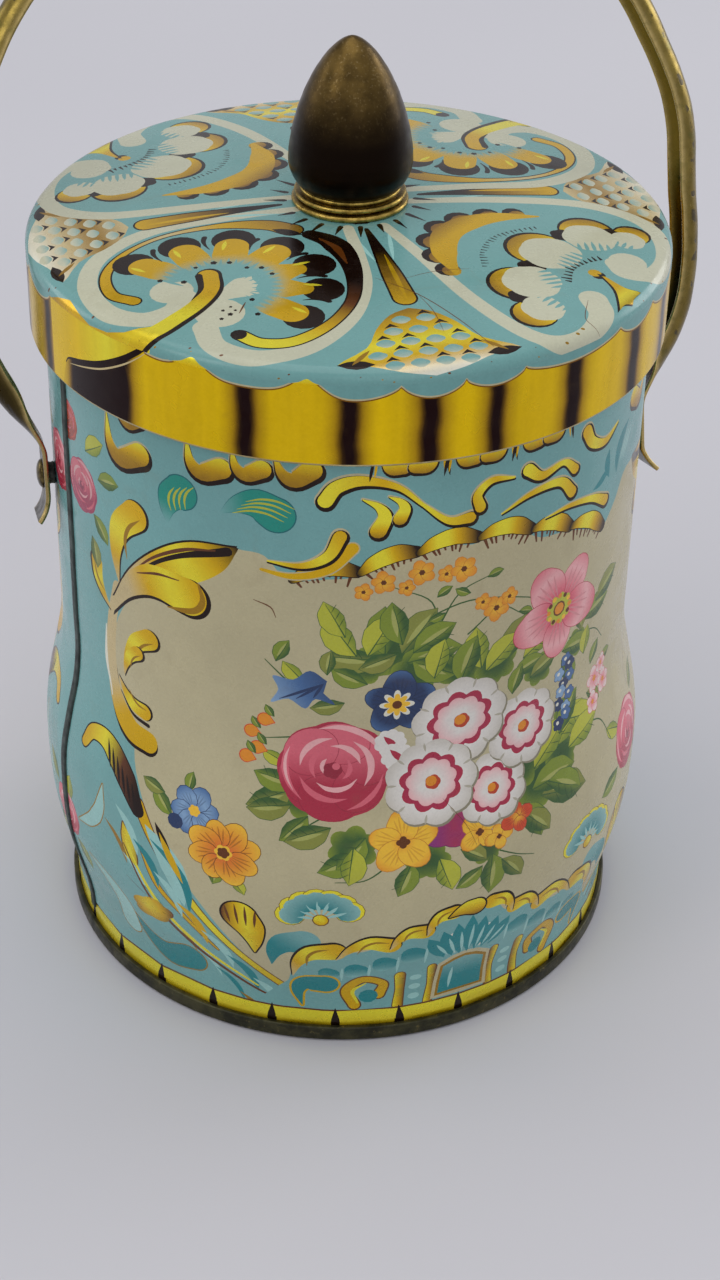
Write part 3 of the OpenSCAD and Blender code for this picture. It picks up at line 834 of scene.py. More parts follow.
def lid_space(xy):
    """From the flat lid print to the dome and shoulder."""
    r = np.linalg.norm(xy, axis=1)
    way = xy / np.maximum(r, 1e-9)[:, None]
    on_dome = r <= DOME_END
    tilt = JOIN_A - (r - DOME_END) / SHOULDER_R
    dome_up = np.sqrt(np.maximum(DOME_R ** 2 - r ** 2, 0))
    out_r = np.where(on_dome, r, SHOULDER_AT + SHOULDER_R * np.cos(tilt))
    z = np.where(on_dome, DOME_Z + dome_up, SHOULDER_Z + SHOULDER_R * np.sin(tilt))
    n_r = np.where(on_dome, r / DOME_R, np.cos(tilt))
    n_z = np.where(on_dome, dome_up / DOME_R, np.sin(tilt))
    return np.column_stack([way * out_r[:, None], z]), np.column_stack([way * n_r[:, None], n_z])


# azimuth and width of the skirt's stripes on half the lid
HALF_STRIPES = [(-74.5, 2.4), (-58, 16.4), (-28, 3.0), (-11, 3.1), (2.2, 3.2), (13.7, 2.7), (29.4, 3.4),
                (46.5, 3.2), (61, 2.6), (75, 2.4), (90, 2.6)]
STRIPES = HALF_STRIPES + [(at + 180, width) for at, width in HALF_STRIPES]


def stripe_ink(xy):
    """Gold with soft dark upright stripes."""
    az = np.degrees(xy[:, 0] / LID_R)
    nearest = np.full(len(az), 99.0)
    for at, width in STRIPES:
        off = (az - at + 180) % 360 - 180
        sway = 0.14 * np.sin(xy[:, 1] * 0.7 + at) + 0.05 * np.sin(xy[:, 1] * 2.3 + at * 2)
        nearest = np.minimum(nearest, np.abs(np.radians(off) * LID_R + sway) - width / 2)
    core = np.clip(0.5 - nearest / 1.5, 0, 1)[:, None]
    core = core * core * (3 - 2 * core)
    halo = np.clip(1 - nearest / 3.4, 0, 1)[:, None] ** 1.3
    glow = 0.5 + 0.5 * np.sin(az * 0.31 + 1.1)[:, None]
    base = GOLD_SKIRT * (1 - glow * 0.15) + GOLD_DULL * glow * 0.15
    base = base * (1 - halo * 0.85) + BROWN_GOLD * halo * 0.85
    return base * (1 - core) + STRIPE * core


# the gold patch on the rim runs between these azimuths; then where the lobes of the ground colour meet
RIM_FROM, RIM_TO = -73.0, -46.5
LOBES = np.array([RIM_TO, -37.2, -17.7, -2.7, 8, 18.8, 41, 53, 66, 80, 94, 180 + RIM_FROM, 180 + RIM_TO])
LOBE_DROP = (0.5, 1.6, 2.6, 2.6, 2.1, 1.9, 2.4, 2.2, 2.6, 2.4, 2.2, -3.0)


def scallop(x):
    """Lower edge of the lid's ground colour on the skirt, at distance x round it."""
    lobe = np.interp((np.degrees(x / LID_R) - RIM_TO) % 180 + RIM_TO, LOBES, np.arange(len(LOBES)))
    drop = np.array(LOBE_DROP)[np.minimum(lobe.astype(int), len(LOBE_DROP) - 1)]
    edge = SHOULDER_Z + 0.2 - drop * np.sin(math.pi * (lobe % 1)) ** 0.6
    for at, _, _ in GOLD_POINTS:
        off = (np.degrees(x / LID_R) - at + 90) % 180 - 90
        edge += 1.9 * np.exp(-(off / 3.4) ** 2)
    return np.minimum(edge, SHOULDER_Z + 0.8)


def skirt_print(low, high):
    """The gold band round the lid, laid flat, with the ground colour's lobes along its top."""
    s = Print()
    half = math.pi * LID_R
    xs = np.linspace(-half, half, 901)
    s.draw([(-half, low), (half, low), (half, high), (-half, high)], stripe_ink)
    edge = np.column_stack([xs, scallop(xs)])
    patch = ((-67.6, -10), (-66.4, -8.8), (-62, -7.6), (-57, -5.9), (-52, -3.3), (-48.5, -0.9),
             (-46.5, 0.8))
    for half_turn in (0, 180):
        line = [(math.radians((a + half_turn + 180) % 360 - 180) * LID_R, SHOULDER_Z + z) for a, z in patch]
        left = line[0][0] - 5.0
        s.draw([(left, high + 1), (left, low), (line[0][0] - 1.4, low)] + line + [(line[-1][0], high + 1)],
               fade((left, 0), (line[-1][0], 0), GOLD_SKIRT, GOLD_SKIRT, GOLD_PALE, GOLD))
        s.band(line, [0.2, 0.7, 1.0, 1.1, 1.0], STRIPE)
        s.band([(x + 0.3, z - 0.9) for x, z in line[1:]], [0.1, 0.3, 0.35, 0.3, 0.1], TAN)
    for drop, colour in ((0.55, BROWN_GOLD), (0.3, CREAM), (0, TEAL_LID)):
        s.draw(np.vstack([edge - (0, drop), [(half, high + 1), (-half, high + 1)]]), colour)
    return s


# ---------------------------------------------------------------- the body's print
# Places are in mm: sideways from the picture's middle, and up from the floor.
def gold_lobe(s, root, head, r, bend=0.0, low=True):
    """A plump gold leaf lobe with a brown line on one side."""
    root, head = np.array(root, float), np.array(head, float)
    d = head - root
    side = np.array([-d[1], d[0]]) / np.linalg.norm(d) * (1 if low else -1)
    s.drop(root - side * 0.3, head - side * 0.35 + d / np.linalg.norm(d) * 0.15, r + 0.12, BROWN, bend=bend)
    s.drop(root, head, r * 0.96, fade(root, head + side * r * 0.4, TAN, GOLD, GOLD_PALE, GOLD), bend=bend)
    s.leaf(root + d * 0.4 - side * r * 0.2, head - side * r * 0.45, r * 0.3, GOLD_DULL, bend=bend)


def comma_scroll(s, tail, head, r, bend):
    """A gold comma with a cream edge and brown shade, as in the row under the lid."""
    tail, head = np.array(tail, float), np.array(head, float)
    lift = np.array((-0.08, 0.2)) * r
    s.drop(tail + lift * 0.6, head + lift * 0.6, r * 1.02, CREAM, bend=bend, tail_w=0.7)
    s.drop(tail, head, r, BROWN, bend=bend, tail_w=0.5)
    s.drop(tail + lift * 0.3, head + lift, r * 0.8,
           fade(head + (0, r), head - (0, r * 0.6), GOLD_PALE, GOLD, GOLD_DULL), bend=bend, tail_w=0.2)


def long_scroll(s, path, widths):
    """A comma along a path of its own."""
    widths = np.array(widths, float)
    s.band([(x - 0.1, y + 0.35) for x, y in path], widths + 0.15, CREAM)
    s.band(path, widths, BROWN)
    s.band([(x - 0.1, y + 0.3) for x, y in path], widths * 0.72,
           fade(path[0], path[-1], GOLD_PALE, GOLD, GOLD_PALE, GOLD))


def acanthus(s):
    """The gold leaf spray at the picture's upper corner, with its stem."""
    stem = [(-69.5, 92), (-71.6, 84), (-72.4, 75), (-71, 67.5), (-66.6, 62.8), (-61.8, 62)]
    s.band([(x + 0.1, y - 0.6) for x, y in stem[2:]], [2.8, 3.2, 4.8, 4.4], BROWN)
    s.band(stem, [2.6, 2.6, 2.8, 3.2, 4.6, 4.2], fade((-74, 84), (-62, 62), TAN, TAN, TAN, GOLD, GOLD))
    s.band([(-73.6, 82), (-74, 74), (-72.4, 67)], [0.3, 0.9, 0.3], CREAM_PALE)
    s.band([(-69.8, 69.4), (-66.4, 66), (-62.2, 65.2)], [0.2, 0.6, 0.8], BROWN)
    gold_lobe(s, (-70.4, 72.5), (-63.4, 67.6), 1.7, -0.15, False)
    gold_lobe(s, (-68.8, 74), (-61.6, 84.4), 2.2, 0.12)
    gold_lobe(s, (-68.6, 73.4), (-64.8, 80.0), 1.5, 0.12)
    gold_lobe(s, (-71.6, 86), (-75.8, 94.4), 1.9, 0.12, False)
    gold_lobe(s, (-69, 93), (-64.2, 109.2), 3.1, 0.16)
    blade = np.vstack([
        spline([(-71, 89), (-66, 97.4), (-59, 104.4), (-51.6, 108.6), (-42.6, 109.8)], 5),
        spline([(-42.8, 109.2), (-45.4, 104.6), (-50.6, 100.6), (-58, 97.4), (-66, 91.6)], 5)])
    s.draw(blade + (-0.2, 0.35), BROWN)
    s.draw(blade, fade((-68, 92), (-42.6, 109.6), TAN, TAN, GOLD, GOLD_PALE, GOLD, BROWN))
    s.band([(-69, 91), (-62, 99.4), (-54.4, 104.8), (-44.6, 108.6)], [0.2, 0.6, 1.0, 1.8], BROWN)
    s.band([(-66, 96.4), (-60, 102.4), (-53, 106.6), (-47, 108.2)], [0.2, 0.5, 0.8, 0.3], BROWN_WARM)
    s.drop((-71, 85.4), (-52, 96.8), 4.1, BROWN, bend=0.2)
    s.drop((-71.2, 86), (-52.6, 97.1), 3.8, fade((-70, 88), (-50, 97), TAN, TAN, GOLD, GOLD_PALE, GOLD),
           bend=0.2)
    s.band([(-50.4, 100.4), (-49.6, 97), (-51.6, 94.4), (-57, 93.4)], [0.4, 1.3, 1.2, 0.2], GOLD_DULL)
    s.band([(-64, 97.6), (-59, 99.4), (-54.4, 99.8)], [0.2, 0.6, 0.2], BROWN_WARM)


def sweep(s):
    """The long teal and gold sweep at the picture's lower corner."""
    s.draw(spline([(-90, 58), (-79, 56.5), (-73, 57.8), (-66, 52.5), (-60, 44), (-54, 35), (-47, 25.5),
                   (-39, 17), (-27, 7), (-40, 4), (-90, 4), (-90, 30)], 5), TEAL)
    s.band([(-62.5, 49), (-57, 40), (-50.5, 30.5), (-42.5, 20.6), (-34, 12.6), (-26.6, 8)],
           [2.4, 2.0, 1.6, 1.4, 1.4, 1.0], fade((-60, 46), (-30, 10), GOLD, GOLD_PALE, GOLD),
           outline=BROWN_WARM, line=0.25)
    s.band([(-79, 53.2), (-76.8, 56.6), (-72, 57), (-66.6, 53), (-62.6, 47.6)], [2.0, 3.2, 4.6, 4.6, 2.6],
           fade((-79, 52), (-63, 50), GOLD, GOLD_PALE, BROWN_WARM, BROWN), outline=BROWN, line=0.3)
    for i in range(6):
        s.leaf((-72 + i * 1.5, 57.8 - i * 1.1), (-70.4 + i * 1.5, 52.6 - i * 1.1), 0.7, BROWN)
    s.leaf((-66, 43), (-63.2, 32.6), 3.2, fade((-67, 40), (-62, 40), GOLD, GOLD_PALE, GOLD_DULL),
           outline=BROWN_WARM)
    s.leaf((-60.6, 45.4), (-52.6, 29.6), 5.4, TEAL_PALE, bend=0.1)
    s.leaf((-59.4, 42.8), (-51.6, 28), 2.0, TEAL_DEEP, bend=0.16)
    s.band([(-61.6, 39.4), (-58.4, 32.2), (-52.6, 26.4), (-46.8, 20)], [0.8, 1.1, 0.9, 0.4], GOLD,
           outline=BROWN_WARM, line=0.2)
    for i in range(7):
        x, y = -68 + i * 4.6, 46 - i * 5.4
        s.leaf((x, y), (x + 5.4, y - 9), 1.9, (TEAL_PALE, TEAL_DEEP, TEAL_PALE, GOLD)[i % 4], bend=0.12)
        s.leaf((x - 3, y - 5), (x + 2.6, y - 12.6), 1.2, (GOLD_DULL, TEAL_PALE, TEAL_DEEP)[i % 3], bend=0.1)
    s.band([(-66, 38), (-60, 27), (-51, 18), (-40, 10.6), (-32, 8)], [0.3, 0.7, 0.9, 0.7, 0.3], BROWN_WARM)
    s.band([(-65.4, 39), (-59.2, 28), (-50.4, 19), (-39.6, 11.6)], [0.3, 1.0, 1.0, 0.4], GOLD_PALE)
    s.leaf((-58.4, 47), (-54.8, 40.8), 1.6, BROWN)
    s.leaf((-57.4, 45.2), (-52.6, 35.4), 1.7, GOLD)
    s.blob(-60.4, 24.4, 5.2, round_fade((-61, 25), 5.4, GOLD_PALE, GOLD, BROWN_WARM), squash=0.6, turn=15,
           lobes=5, depth=0.16)
    s.drop((-66.5, 19.5), (-53.5, 14), 3.4, TEAL_DEEP, bend=-0.25, outline=GOLD_DULL, line=0.3)
    s.drop((-78, 27), (-68.5, 15), 2.6, TEAL_PALE, bend=0.2, outline=GOLD_DULL, line=0.25)
    s.leaf((-72, 48), (-80.5, 34), 3.0, TEAL_PALE, bend=0.15, outline=GOLD_DULL, line=0.25)
    s.drop((-36.4, 19.4), (-30.4, 27.2), 3.1, fade((-36, 20), (-30, 28), TEAL_DEEP, TEAL_DEEP, TEAL),
           bend=0.22)
    s.drop((-39.4, 22.2), (-41.8, 31.6), 3.4,
           fade((-45, 30), (-38.5, 30), BROWN_WARM, GOLD, GOLD_PALE, GOLD), bend=-0.1, outline=BROWN,
           line=0.35)
    for i in range(4):
        s.leaf((-44.6 + i * 1.9, 34.6 - abs(i - 1.5) * 0.6), (-43.6 + i * 1.5, 29.4), 0.55, BROWN_WARM)


def shell_fan(s, x, y, turn, size=1.0):
    """A fan of teal petals edged with gold."""
    s.place(move=(x, y), turn=turn, scale=size)
    for i in range(-3, 4):
        a = math.radians(90 - i * 25)
        cx, cy = 5.4 * math.cos(a), 4.9 * math.sin(a)
        s.blob(cx, cy, 2.6, GOLD_PALE, squash=0.95, outline=BROWN_WARM, line=0.12)
    for i in range(-3, 4):
        a = math.radians(90 - i * 25)
        cx, cy = 5.1 * math.cos(a), 4.5 * math.sin(a)
        s.blob(cx, cy, 2.2, round_fade((0, 0), 8.4, TEAL_DEEP, TEAL_DEEP, TEAL, TEAL_PALE))
        s.leaf((1.1 * math.cos(a), 1.1 * math.sin(a)), (4.8 * math.cos(a), 4.4 * math.sin(a)), 0.7,
               TEAL_PALE)
    s.blob(0, -0.2, 1.3, round_fade((-0.3, 0.2), 1.4, CREAM_PALE, GOLD_PALE, GOLD), outline=BROWN_WARM,
           line=0.2)
    s.done()


def lower_border(s):
    """Teal and gold shell work along the foot, under an arched gold edge."""
    arch = [(-33.5, 15), (-31.6, 21), (-25.4, 25), (-20, 24.8), (-14, 27.4), (-8.6, 28.4), (-6, 31.6),
            (-1, 33), (4.4, 31.6), (7.2, 28.4), (12.6, 27.2), (19, 24.6), (25, 24.6), (31, 20.6),
            (33.5, 15)]
    s.draw(np.vstack([spline(arch, 6), [(44, 3), (-44, 3)]]), TEAL)
    for a, b, r in (((-32.6, 16.6), (-25, 24.8), 2.4), ((-24.6, 22.4), (-15, 26), 2.0),
                    ((-15, 24.8), (-8.8, 28.6), 1.8), ((-8.4, 27.4), (-3.6, 32.2), 1.7)):
        for _ in s.both_ways():
            gold_lobe(s, a, b, r, 0.22, False)
    s.drop((-4.6, 31.2), (0.4, 32.4), 1.9, fade((0, 34), (0, 30), GOLD_PALE, GOLD, BROWN_WARM), bend=0.1,
           outline=BROWN)
    for _ in s.both_ways():
        for x, y, w, h in ((-10.6, 23.8, 5.2, 4.6), (-15.8, 22, 5.0, 4.4), (-21, 20.4, 4.8, 4.0),
                           (-26, 19.4, 4.2, 3.6)):
            s.blob(x, y - 1.4, w * 0.5, fade((x, y - h), (x, y + 1), TEAL_PALE, TEAL_DEEP, TEAL_DEEP),
                   squash=0.9, lobes=3, depth=0.12)
            s.leaf((x + 2.4, y - h), (x + 2.5, y + 0.4), 0.6, TEAL_PALE)
        s.drop((-31, 8), (-26.5, 14.6), 2.4, TEAL_DEEP, bend=0.4, outline=GOLD, line=0.45)
        s.band([(-21, 8.4), (-22.6, 12.6), (-19.6, 16), (-15.8, 14.4), (-16.4, 11)],
               [2.2, 2, 1.8, 1.6, 2.2], GOLD, outline=BROWN_WARM, line=0.3)
        s.band([(-20.4, 9), (-21.4, 12.4), (-19, 14.8)], [0.5, 0.8, 0.3], GOLD_PALE)
        s.blob(-18.4, 10.8, 1.9, TEAL_DEEP)
        s.band([(-12.6, 7.4), (-12.4, 12), (-12.6, 16.4)], [2.0, 1.6, 2.0],
               fade((-13.6, 0), (-11.4, 0), GOLD_PALE, GOLD, BROWN_WARM), outline=BROWN_WARM, line=0.2)
        s.band([(-6.6, 7.2), (-6.3, 12), (-6.5, 17.4)], [1.7, 1.3, 1.7],
               fade((-7.4, 0), (-5.6, 0), GOLD_PALE, GOLD, BROWN_WARM), outline=BROWN_WARM, line=0.2)
        for y in (9.4, 12.2, 15):
            s.blob(-9.5, y, 1.2, TEAL_PALE, squash=0.7)
        s.drop((-2.4, 20.4), (-3.2, 25.4), 1.3, CREAM_PALE, bend=0.2)
    s.draw([(-6, 7.4), (6, 7.4), (5.4, 17.8), (2.6, 19.6), (0, 20.2), (-2.6, 19.6), (-5.4, 17.8)], CREAM)
    s.draw([(-5.2, 8), (5.2, 8), (4.8, 17), (2.4, 18.6), (0, 19.2), (-2.4, 18.6), (-4.8, 17)], GOLD_DULL)
    s.draw([(-4.6, 8.6), (4.6, 8.6), (4.2, 16.6), (2.1, 17.8), (0, 18.4), (-2.1, 17.8), (-4.2, 16.6)],
           fade((0, 8), (0, 18), TEAL_DEEP, TEAL_DEEP, TEAL))
    s.leaf((-2.4, 9.6), (-2.2, 15.6), 0.8, TEAL_PALE)
    for i in range(-3, 4):
        s.leaf((i * 1.5, 19.8), (i * 2.7, 30.2 - abs(i) * 1.3), 3.0, TEAL_DEEP)
    for i in range(-3, 4):
        s.leaf((i * 1.4 + 0.3, 20.4), (i * 2.3 + 0.5, 27.4 - abs(i) * 1.1), 0.7, TEAL_PALE)


def top_scrolls(s):
    """The row of gold commas, the two teal kidneys and the long scrolls above the picture."""
    for tail, head, r, bend in (((-70.4, 127), (-62, 121.6), 2.7, -0.5),
                                ((-52, 128.6), (-45.4, 124.2), 2.4, -0.45),
                                ((-43.6, 128.8), (-38.2, 125.6), 2.1, -0.45),
                                ((-36.2, 129), (-29.8, 126.4), 2.3, -0.45),
                                ((-68, 131), (-62, 128.6), 1.8, -0.4)):
        comma_scroll(s, tail, head, r, bend)
    for tail, head, r, bend in (((-56.4, 110.8), (-53.6, 117.8), 3.5, 0.16),
                                ((-46, 116), (-36, 117.6), 3.6, 0.2)):
        s.drop(tail, head, r, TEAL_DEEP * 0.6, bend=bend)
        s.drop(tail, head, r * 0.93, fade(tail, head, TEAL, JADE, JADE), bend=bend)
    for i in range(4):
        s.leaf((-55.6 + i * 1.0, 113.6 + i * 0.4), (-54.8 + i * 1.3, 118.4 + i * 0.4), 0.5, GREEN_PALE,
               bend=0.15)
        s.leaf((-43.6 + i * 0.8, 116.6 + i * 0.9), (-34.6 + i * 0.6, 116.4 + i * 0.9), 0.45, GREEN_PALE,
               bend=0.12)
    path = [(-27.6, 120.8), (-25.6, 123.6), (-21.4, 124.8), (-15.6, 123.4), (-11, 119.4), (-6.6, 115.8),
            (-2.6, 115.6)]
    long_scroll(s, path, [3.6, 3.2, 2.2, 1.4, 0.9, 1.6, 3.0])
    comma_scroll(s, (-21.4, 121.4), (-18.6, 115), 1.8, 0.3)
    comma_scroll(s, (-17, 121.8), (-15, 117.2), 1.5, 0.3)
    for path, widths in (([(-37.4, 108), (-31.4, 107.8), (-27, 110), (-25, 114)], [0.4, 1.4, 2.6, 3.2]),
                         ([(5.6, 121.4), (1.2, 122), (-1.4, 119.8), (-0.8, 117.2)], [0.5, 1.6, 2.2, 2.8]),
                         ([(8.4, 122), (11.6, 119.8), (16.6, 120.6), (19.8, 118)], [3.2, 2.2, 1.5, 2.6]),
                         ([(3.4, 114.8), (9.4, 117), (16, 117), (19.4, 113.6)], [0.3, 1.4, 2.2, 3.0]),
                         ([(13, 110.8), (19, 111), (25.6, 109.6), (30.4, 107)], [0.3, 1.2, 1.8, 3.0]),
                         ([(33, 121.6), (28.6, 119.8), (24.4, 121.4), (22.4, 124.4)],
                          [0.5, 2.0, 2.8, 3.4])):
        long_scroll(s, path, widths)
    comma_scroll(s, (47, 126.8), (40.6, 122.8), 2.4, 0.45)
    comma_scroll(s, (60, 127.2), (53.6, 122.8), 2.4, 0.45)
    for x in (-13.6, -1, 11.6):
        for side in (-1, 1):
            comma_scroll(s, (x + side * 4.4, 130.4), (x + side * 0.9, 127), 1.5, 0.35 * side)
            s.leaf((x + side * 6.2, 129), (x + side * 6.8, 125), 0.6, BROWN)
            s.leaf((x + side * 5.6, 129), (x + side * 6.0, 125.6), 0.45, GOLD)
    s.leaf((34, 111), (38.4, 120), 2.4, TEAL_DEEP, bend=0.15)
    s.leaf((31, 111.6), (30.4, 117.6), 2.0, TEAL_DEEP, bend=0.1)
    s.leaf((25.6, 111.4), (31, 114.6), 1.6, TEAL_DEEP, bend=-0.1)
    for i in range(3):
        s.leaf((35 + i * 0.9, 112.6), (38 + i * 1.2, 118), 0.5, TEAL_PALE)


PICTURE_TOP = [(-42.6, 109.6), (-38, 109.2), (-34, 105), (-28, 105.6), (-21.6, 106.4), (-17.4, 108.6),
               (-12, 110.8), (-6.6, 111.4), (-2, 110.4), (2.4, 111.4), (7, 110.8), (12, 107.6), (18, 106.4),
               (24, 104.2), (29.6, 101.6), (34.4, 105), (38, 109.2), (42.6, 109.6)]


def picture(s):
    """The cream field with its gold, fringed top edge."""
    left = [(-42.6, 109.6), (-47, 107), (-55, 102.6), (-64, 94), (-70.6, 83), (-71.6, 69), (-66, 62.4),
            (-64, 55.4), (-58, 44), (-49, 31.6), (-40.4, 19.6), (-32, 12)]
    left = spline(left, 5)
    s.draw(np.vstack([spline(PICTURE_TOP, 5), left * (-1, 1), left[::-1]]), CREAM)
    arches = [(-33.6, 105), (-22, 107), (-12, 110.4), (-1, 111.4), (10, 109.8), (19.6, 106.6), (30, 101.8)]
    for (x0, y0), (x1, y1) in zip(arches[:-1], arches[1:]):
        rise = 1.5 + 0.2 * (x1 - x0 - 10)
        path = [(x0 + 0.4, y0), (x0 * 0.7 + x1 * 0.3, y0 * 0.7 + y1 * 0.3 + rise * 0.8),
                (x0 * 0.35 + x1 * 0.65, y0 * 0.35 + y1 * 0.65 + rise), (x1 - 0.2, y1 + 0.3)]
        s.fringe(path, 3.0, 1.3, 0.8, BROWN_WARM, wobble=0.25)
        s.band(path, [1.2, 2.6, 3.2, 3.2, 2.2],
               fade((x0, y0), (x1, y1), BROWN, GOLD, GOLD_PALE, GOLD_PALE, GOLD, GOLD_DULL, BROWN),
               outline=BROWN, line=0.16)
    s.band([(-38.6, 106.4), (-33, 105.8), (-27, 107.6), (-23, 112)], [0.6, 1.2, 1.6, 2.2], GOLD,
           outline=CREAM, line=0.25)


# ---------------------------------------------------------------- flowers
def petals(s, x, y, r, n, colour, edge, spread=0.56, size=0.52, turn=0.0, squash=1.0):
    """A ring of petals. The veins are a tone between the petal's and the edge's."""
    vein = np.array(colour[len(colour) // 2]) * 0.55 + np.array(edge) * 0.45
    for i in range(n):
        a = math.radians(turn + 360 * i / n)
        wide = size * r * (1 + 0.1 * math.sin(i * 2.3 + r))
        cx, cy = x + spread * r * math.cos(a), y + spread * r * math.sin(a) * squash
        s.blob(cx, cy, wide, round_fade((x, y), r * 1.1, *colour), squash=0.84, turn=math.degrees(a),
               lobes=3 if r > 5 else 0, depth=0.08, outline=edge, line=0.14)
        if r > 3:
            for k in (-0.5, -0.17, 0.2, 0.5):
                b = a + k * 0.6
                far = (0.84 - abs(k) * 0.2) * r
                s.leaf((x + 0.28 * r * math.cos(b), y + 0.28 * r * math.sin(b) * squash),
                       (x + far * math.cos(b), y + far * math.sin(b) * squash), 0.03 * r + 0.14, vein)


def ruffled(s, x, y, r, turn=0.0):
    """White flower with a magenta ring and an orange middle."""
    s.blob(x + 0.2, y - 0.3, r * 1.02, ink(128, 122, 100), lobes=9, depth=0.1, turn=turn)
    s.blob(x, y, r, round_fade((x, y), r, WHITE, WHITE, WHITE, ink(186, 180, 168)), lobes=9, depth=0.1,
           turn=turn)
    for i in range(9):
        a = math.radians(turn + 360 * (i + 0.5) / 9)
        s.leaf((x + 0.74 * r * math.cos(a), y + 0.74 * r * math.sin(a)),
               (x + 0.94 * r * math.cos(a), y + 0.94 * r * math.sin(a)), 0.5, ink(164, 158, 140))
    s.blob(x, y, r * 0.69, round_fade((x, y), r * 0.7, MAGENTA, MAGENTA, PINK_DEEP), lobes=9, depth=0.16,
           turn=turn + 9)
    s.blob(x, y, r * 0.55, round_fade((x, y), r * 0.56, WHITE, WHITE, PINK_PALE), lobes=9, depth=0.13,
           turn=turn + 12)
    s.blob(x + 0.2, y - 0.1, r * 0.17, RED * 0.8, lobes=5, depth=0.1)
    s.blob(x - 0.1, y + 0.15, r * 0.12, ORANGE)


def rose(s, x, y, r, tones=(PINK_DEEP, PINK, PINK_PALE)):
    """A full rose: overlapping curved petals round a dark heart."""
    deep, mid, pale = tones
    s.blob(x, y, r, deep, lobes=8, depth=0.06)
    for a0, spread, w in ((200, 0.56, 0.5), (260, 0.56, 0.52), (320, 0.54, 0.5), (20, 0.54, 0.5),
                          (80, 0.54, 0.5), (140, 0.54, 0.52)):
        a = math.radians(a0)
        cx, cy = x + spread * r * math.cos(a), y + spread * r * math.sin(a)
        s.blob(cx, cy, w * r, fade((x, y - r), (x, y + r), deep, deep, mid, mid), squash=0.84, turn=a0 + 90,
               outline=deep * 0.75, line=0.12)
    for a0, a1, at, w, tone in ((140, 230, 0.86, 0.13, mid), (155, 215, 0.86, 0.06, pale),
                                (285, 350, 0.84, 0.1, mid), (20, 110, 0.84, 0.13, pale),
                                (45, 95, 0.74, 0.07, mid), (200, 290, 0.64, 0.12, mid),
                                (325, 420, 0.62, 0.13, pale), (95, 180, 0.6, 0.12, pale),
                                (225, 330, 0.44, 0.1, pale), (10, 100, 0.44, 0.12, pale),
                                (120, 215, 0.4, 0.11, mid), (300, 400, 0.26, 0.09, mid),
                                (130, 220, 0.22, 0.08, pale)):
        path = [(x + at * r * math.cos(math.radians(a)), y + at * r * math.sin(math.radians(a)) + 0.04 * r)
                for a in np.linspace(a0, a1, 5)]
        s.band(path, [0.05, w * 0.8 * r, w * r, w * 0.7 * r, 0.05], tone, steps=4)
    s.blob(x - 0.04 * r, y - 0.02 * r, 0.17 * r, deep * 0.7, lobes=5, depth=0.15)
    s.blob(x + 0.02 * r, y + 0.06 * r, 0.07 * r, mid)


def sprig_leaf(s, x, y, length, turn, tone=0):
    """A leaf with a light side, a dark side and a midrib. Tone 0 is green, 1 is pale and 2 is olive."""
    w = length * 0.56
    light, dark = ((GREEN, GREEN_DEEP), (GREEN_PALE, GREEN), (OLIVE, GREEN_DEEP))[tone]
    s.place(move=(x, y), turn=turn)
    s.leaf((0, 0), (length, 0.1 * w), w, fade((0, w * 0.5), (0, -w * 0.5), light, light, dark, dark),
           bend=0.05, outline=GREEN_DEEP, line=0.12)
    shine = GREEN_PALE if tone == 1 else OLIVE_PALE
    s.leaf((length * 0.2, w * 0.12), (length * 0.85, w * 0.14), w * 0.2, shine)
    s.band([(0, 0), (length * 0.5, 0.03 * w), (length * 0.93, 0.08 * w)], [0.26, 0.18, 0.1], GREEN_DEEP,
           steps=3)
    if length > 7:
        for i in (0.3, 0.5, 0.7):
            s.leaf((length * i, 0), (length * (i + 0.14), -w * 0.3), 0.16, GREEN_DEEP * 0.7)
    s.done()


def star_flower(s, x, y, r, n, colour, edge, middle, turn=0.0):
    """A small flower with n petals."""
    petals(s, x, y, r, n, colour, edge, 0.58, 0.36 + 0.9 / n, turn)
    s.blob(x, y, r * 0.26, middle, lobes=6, depth=0.2)


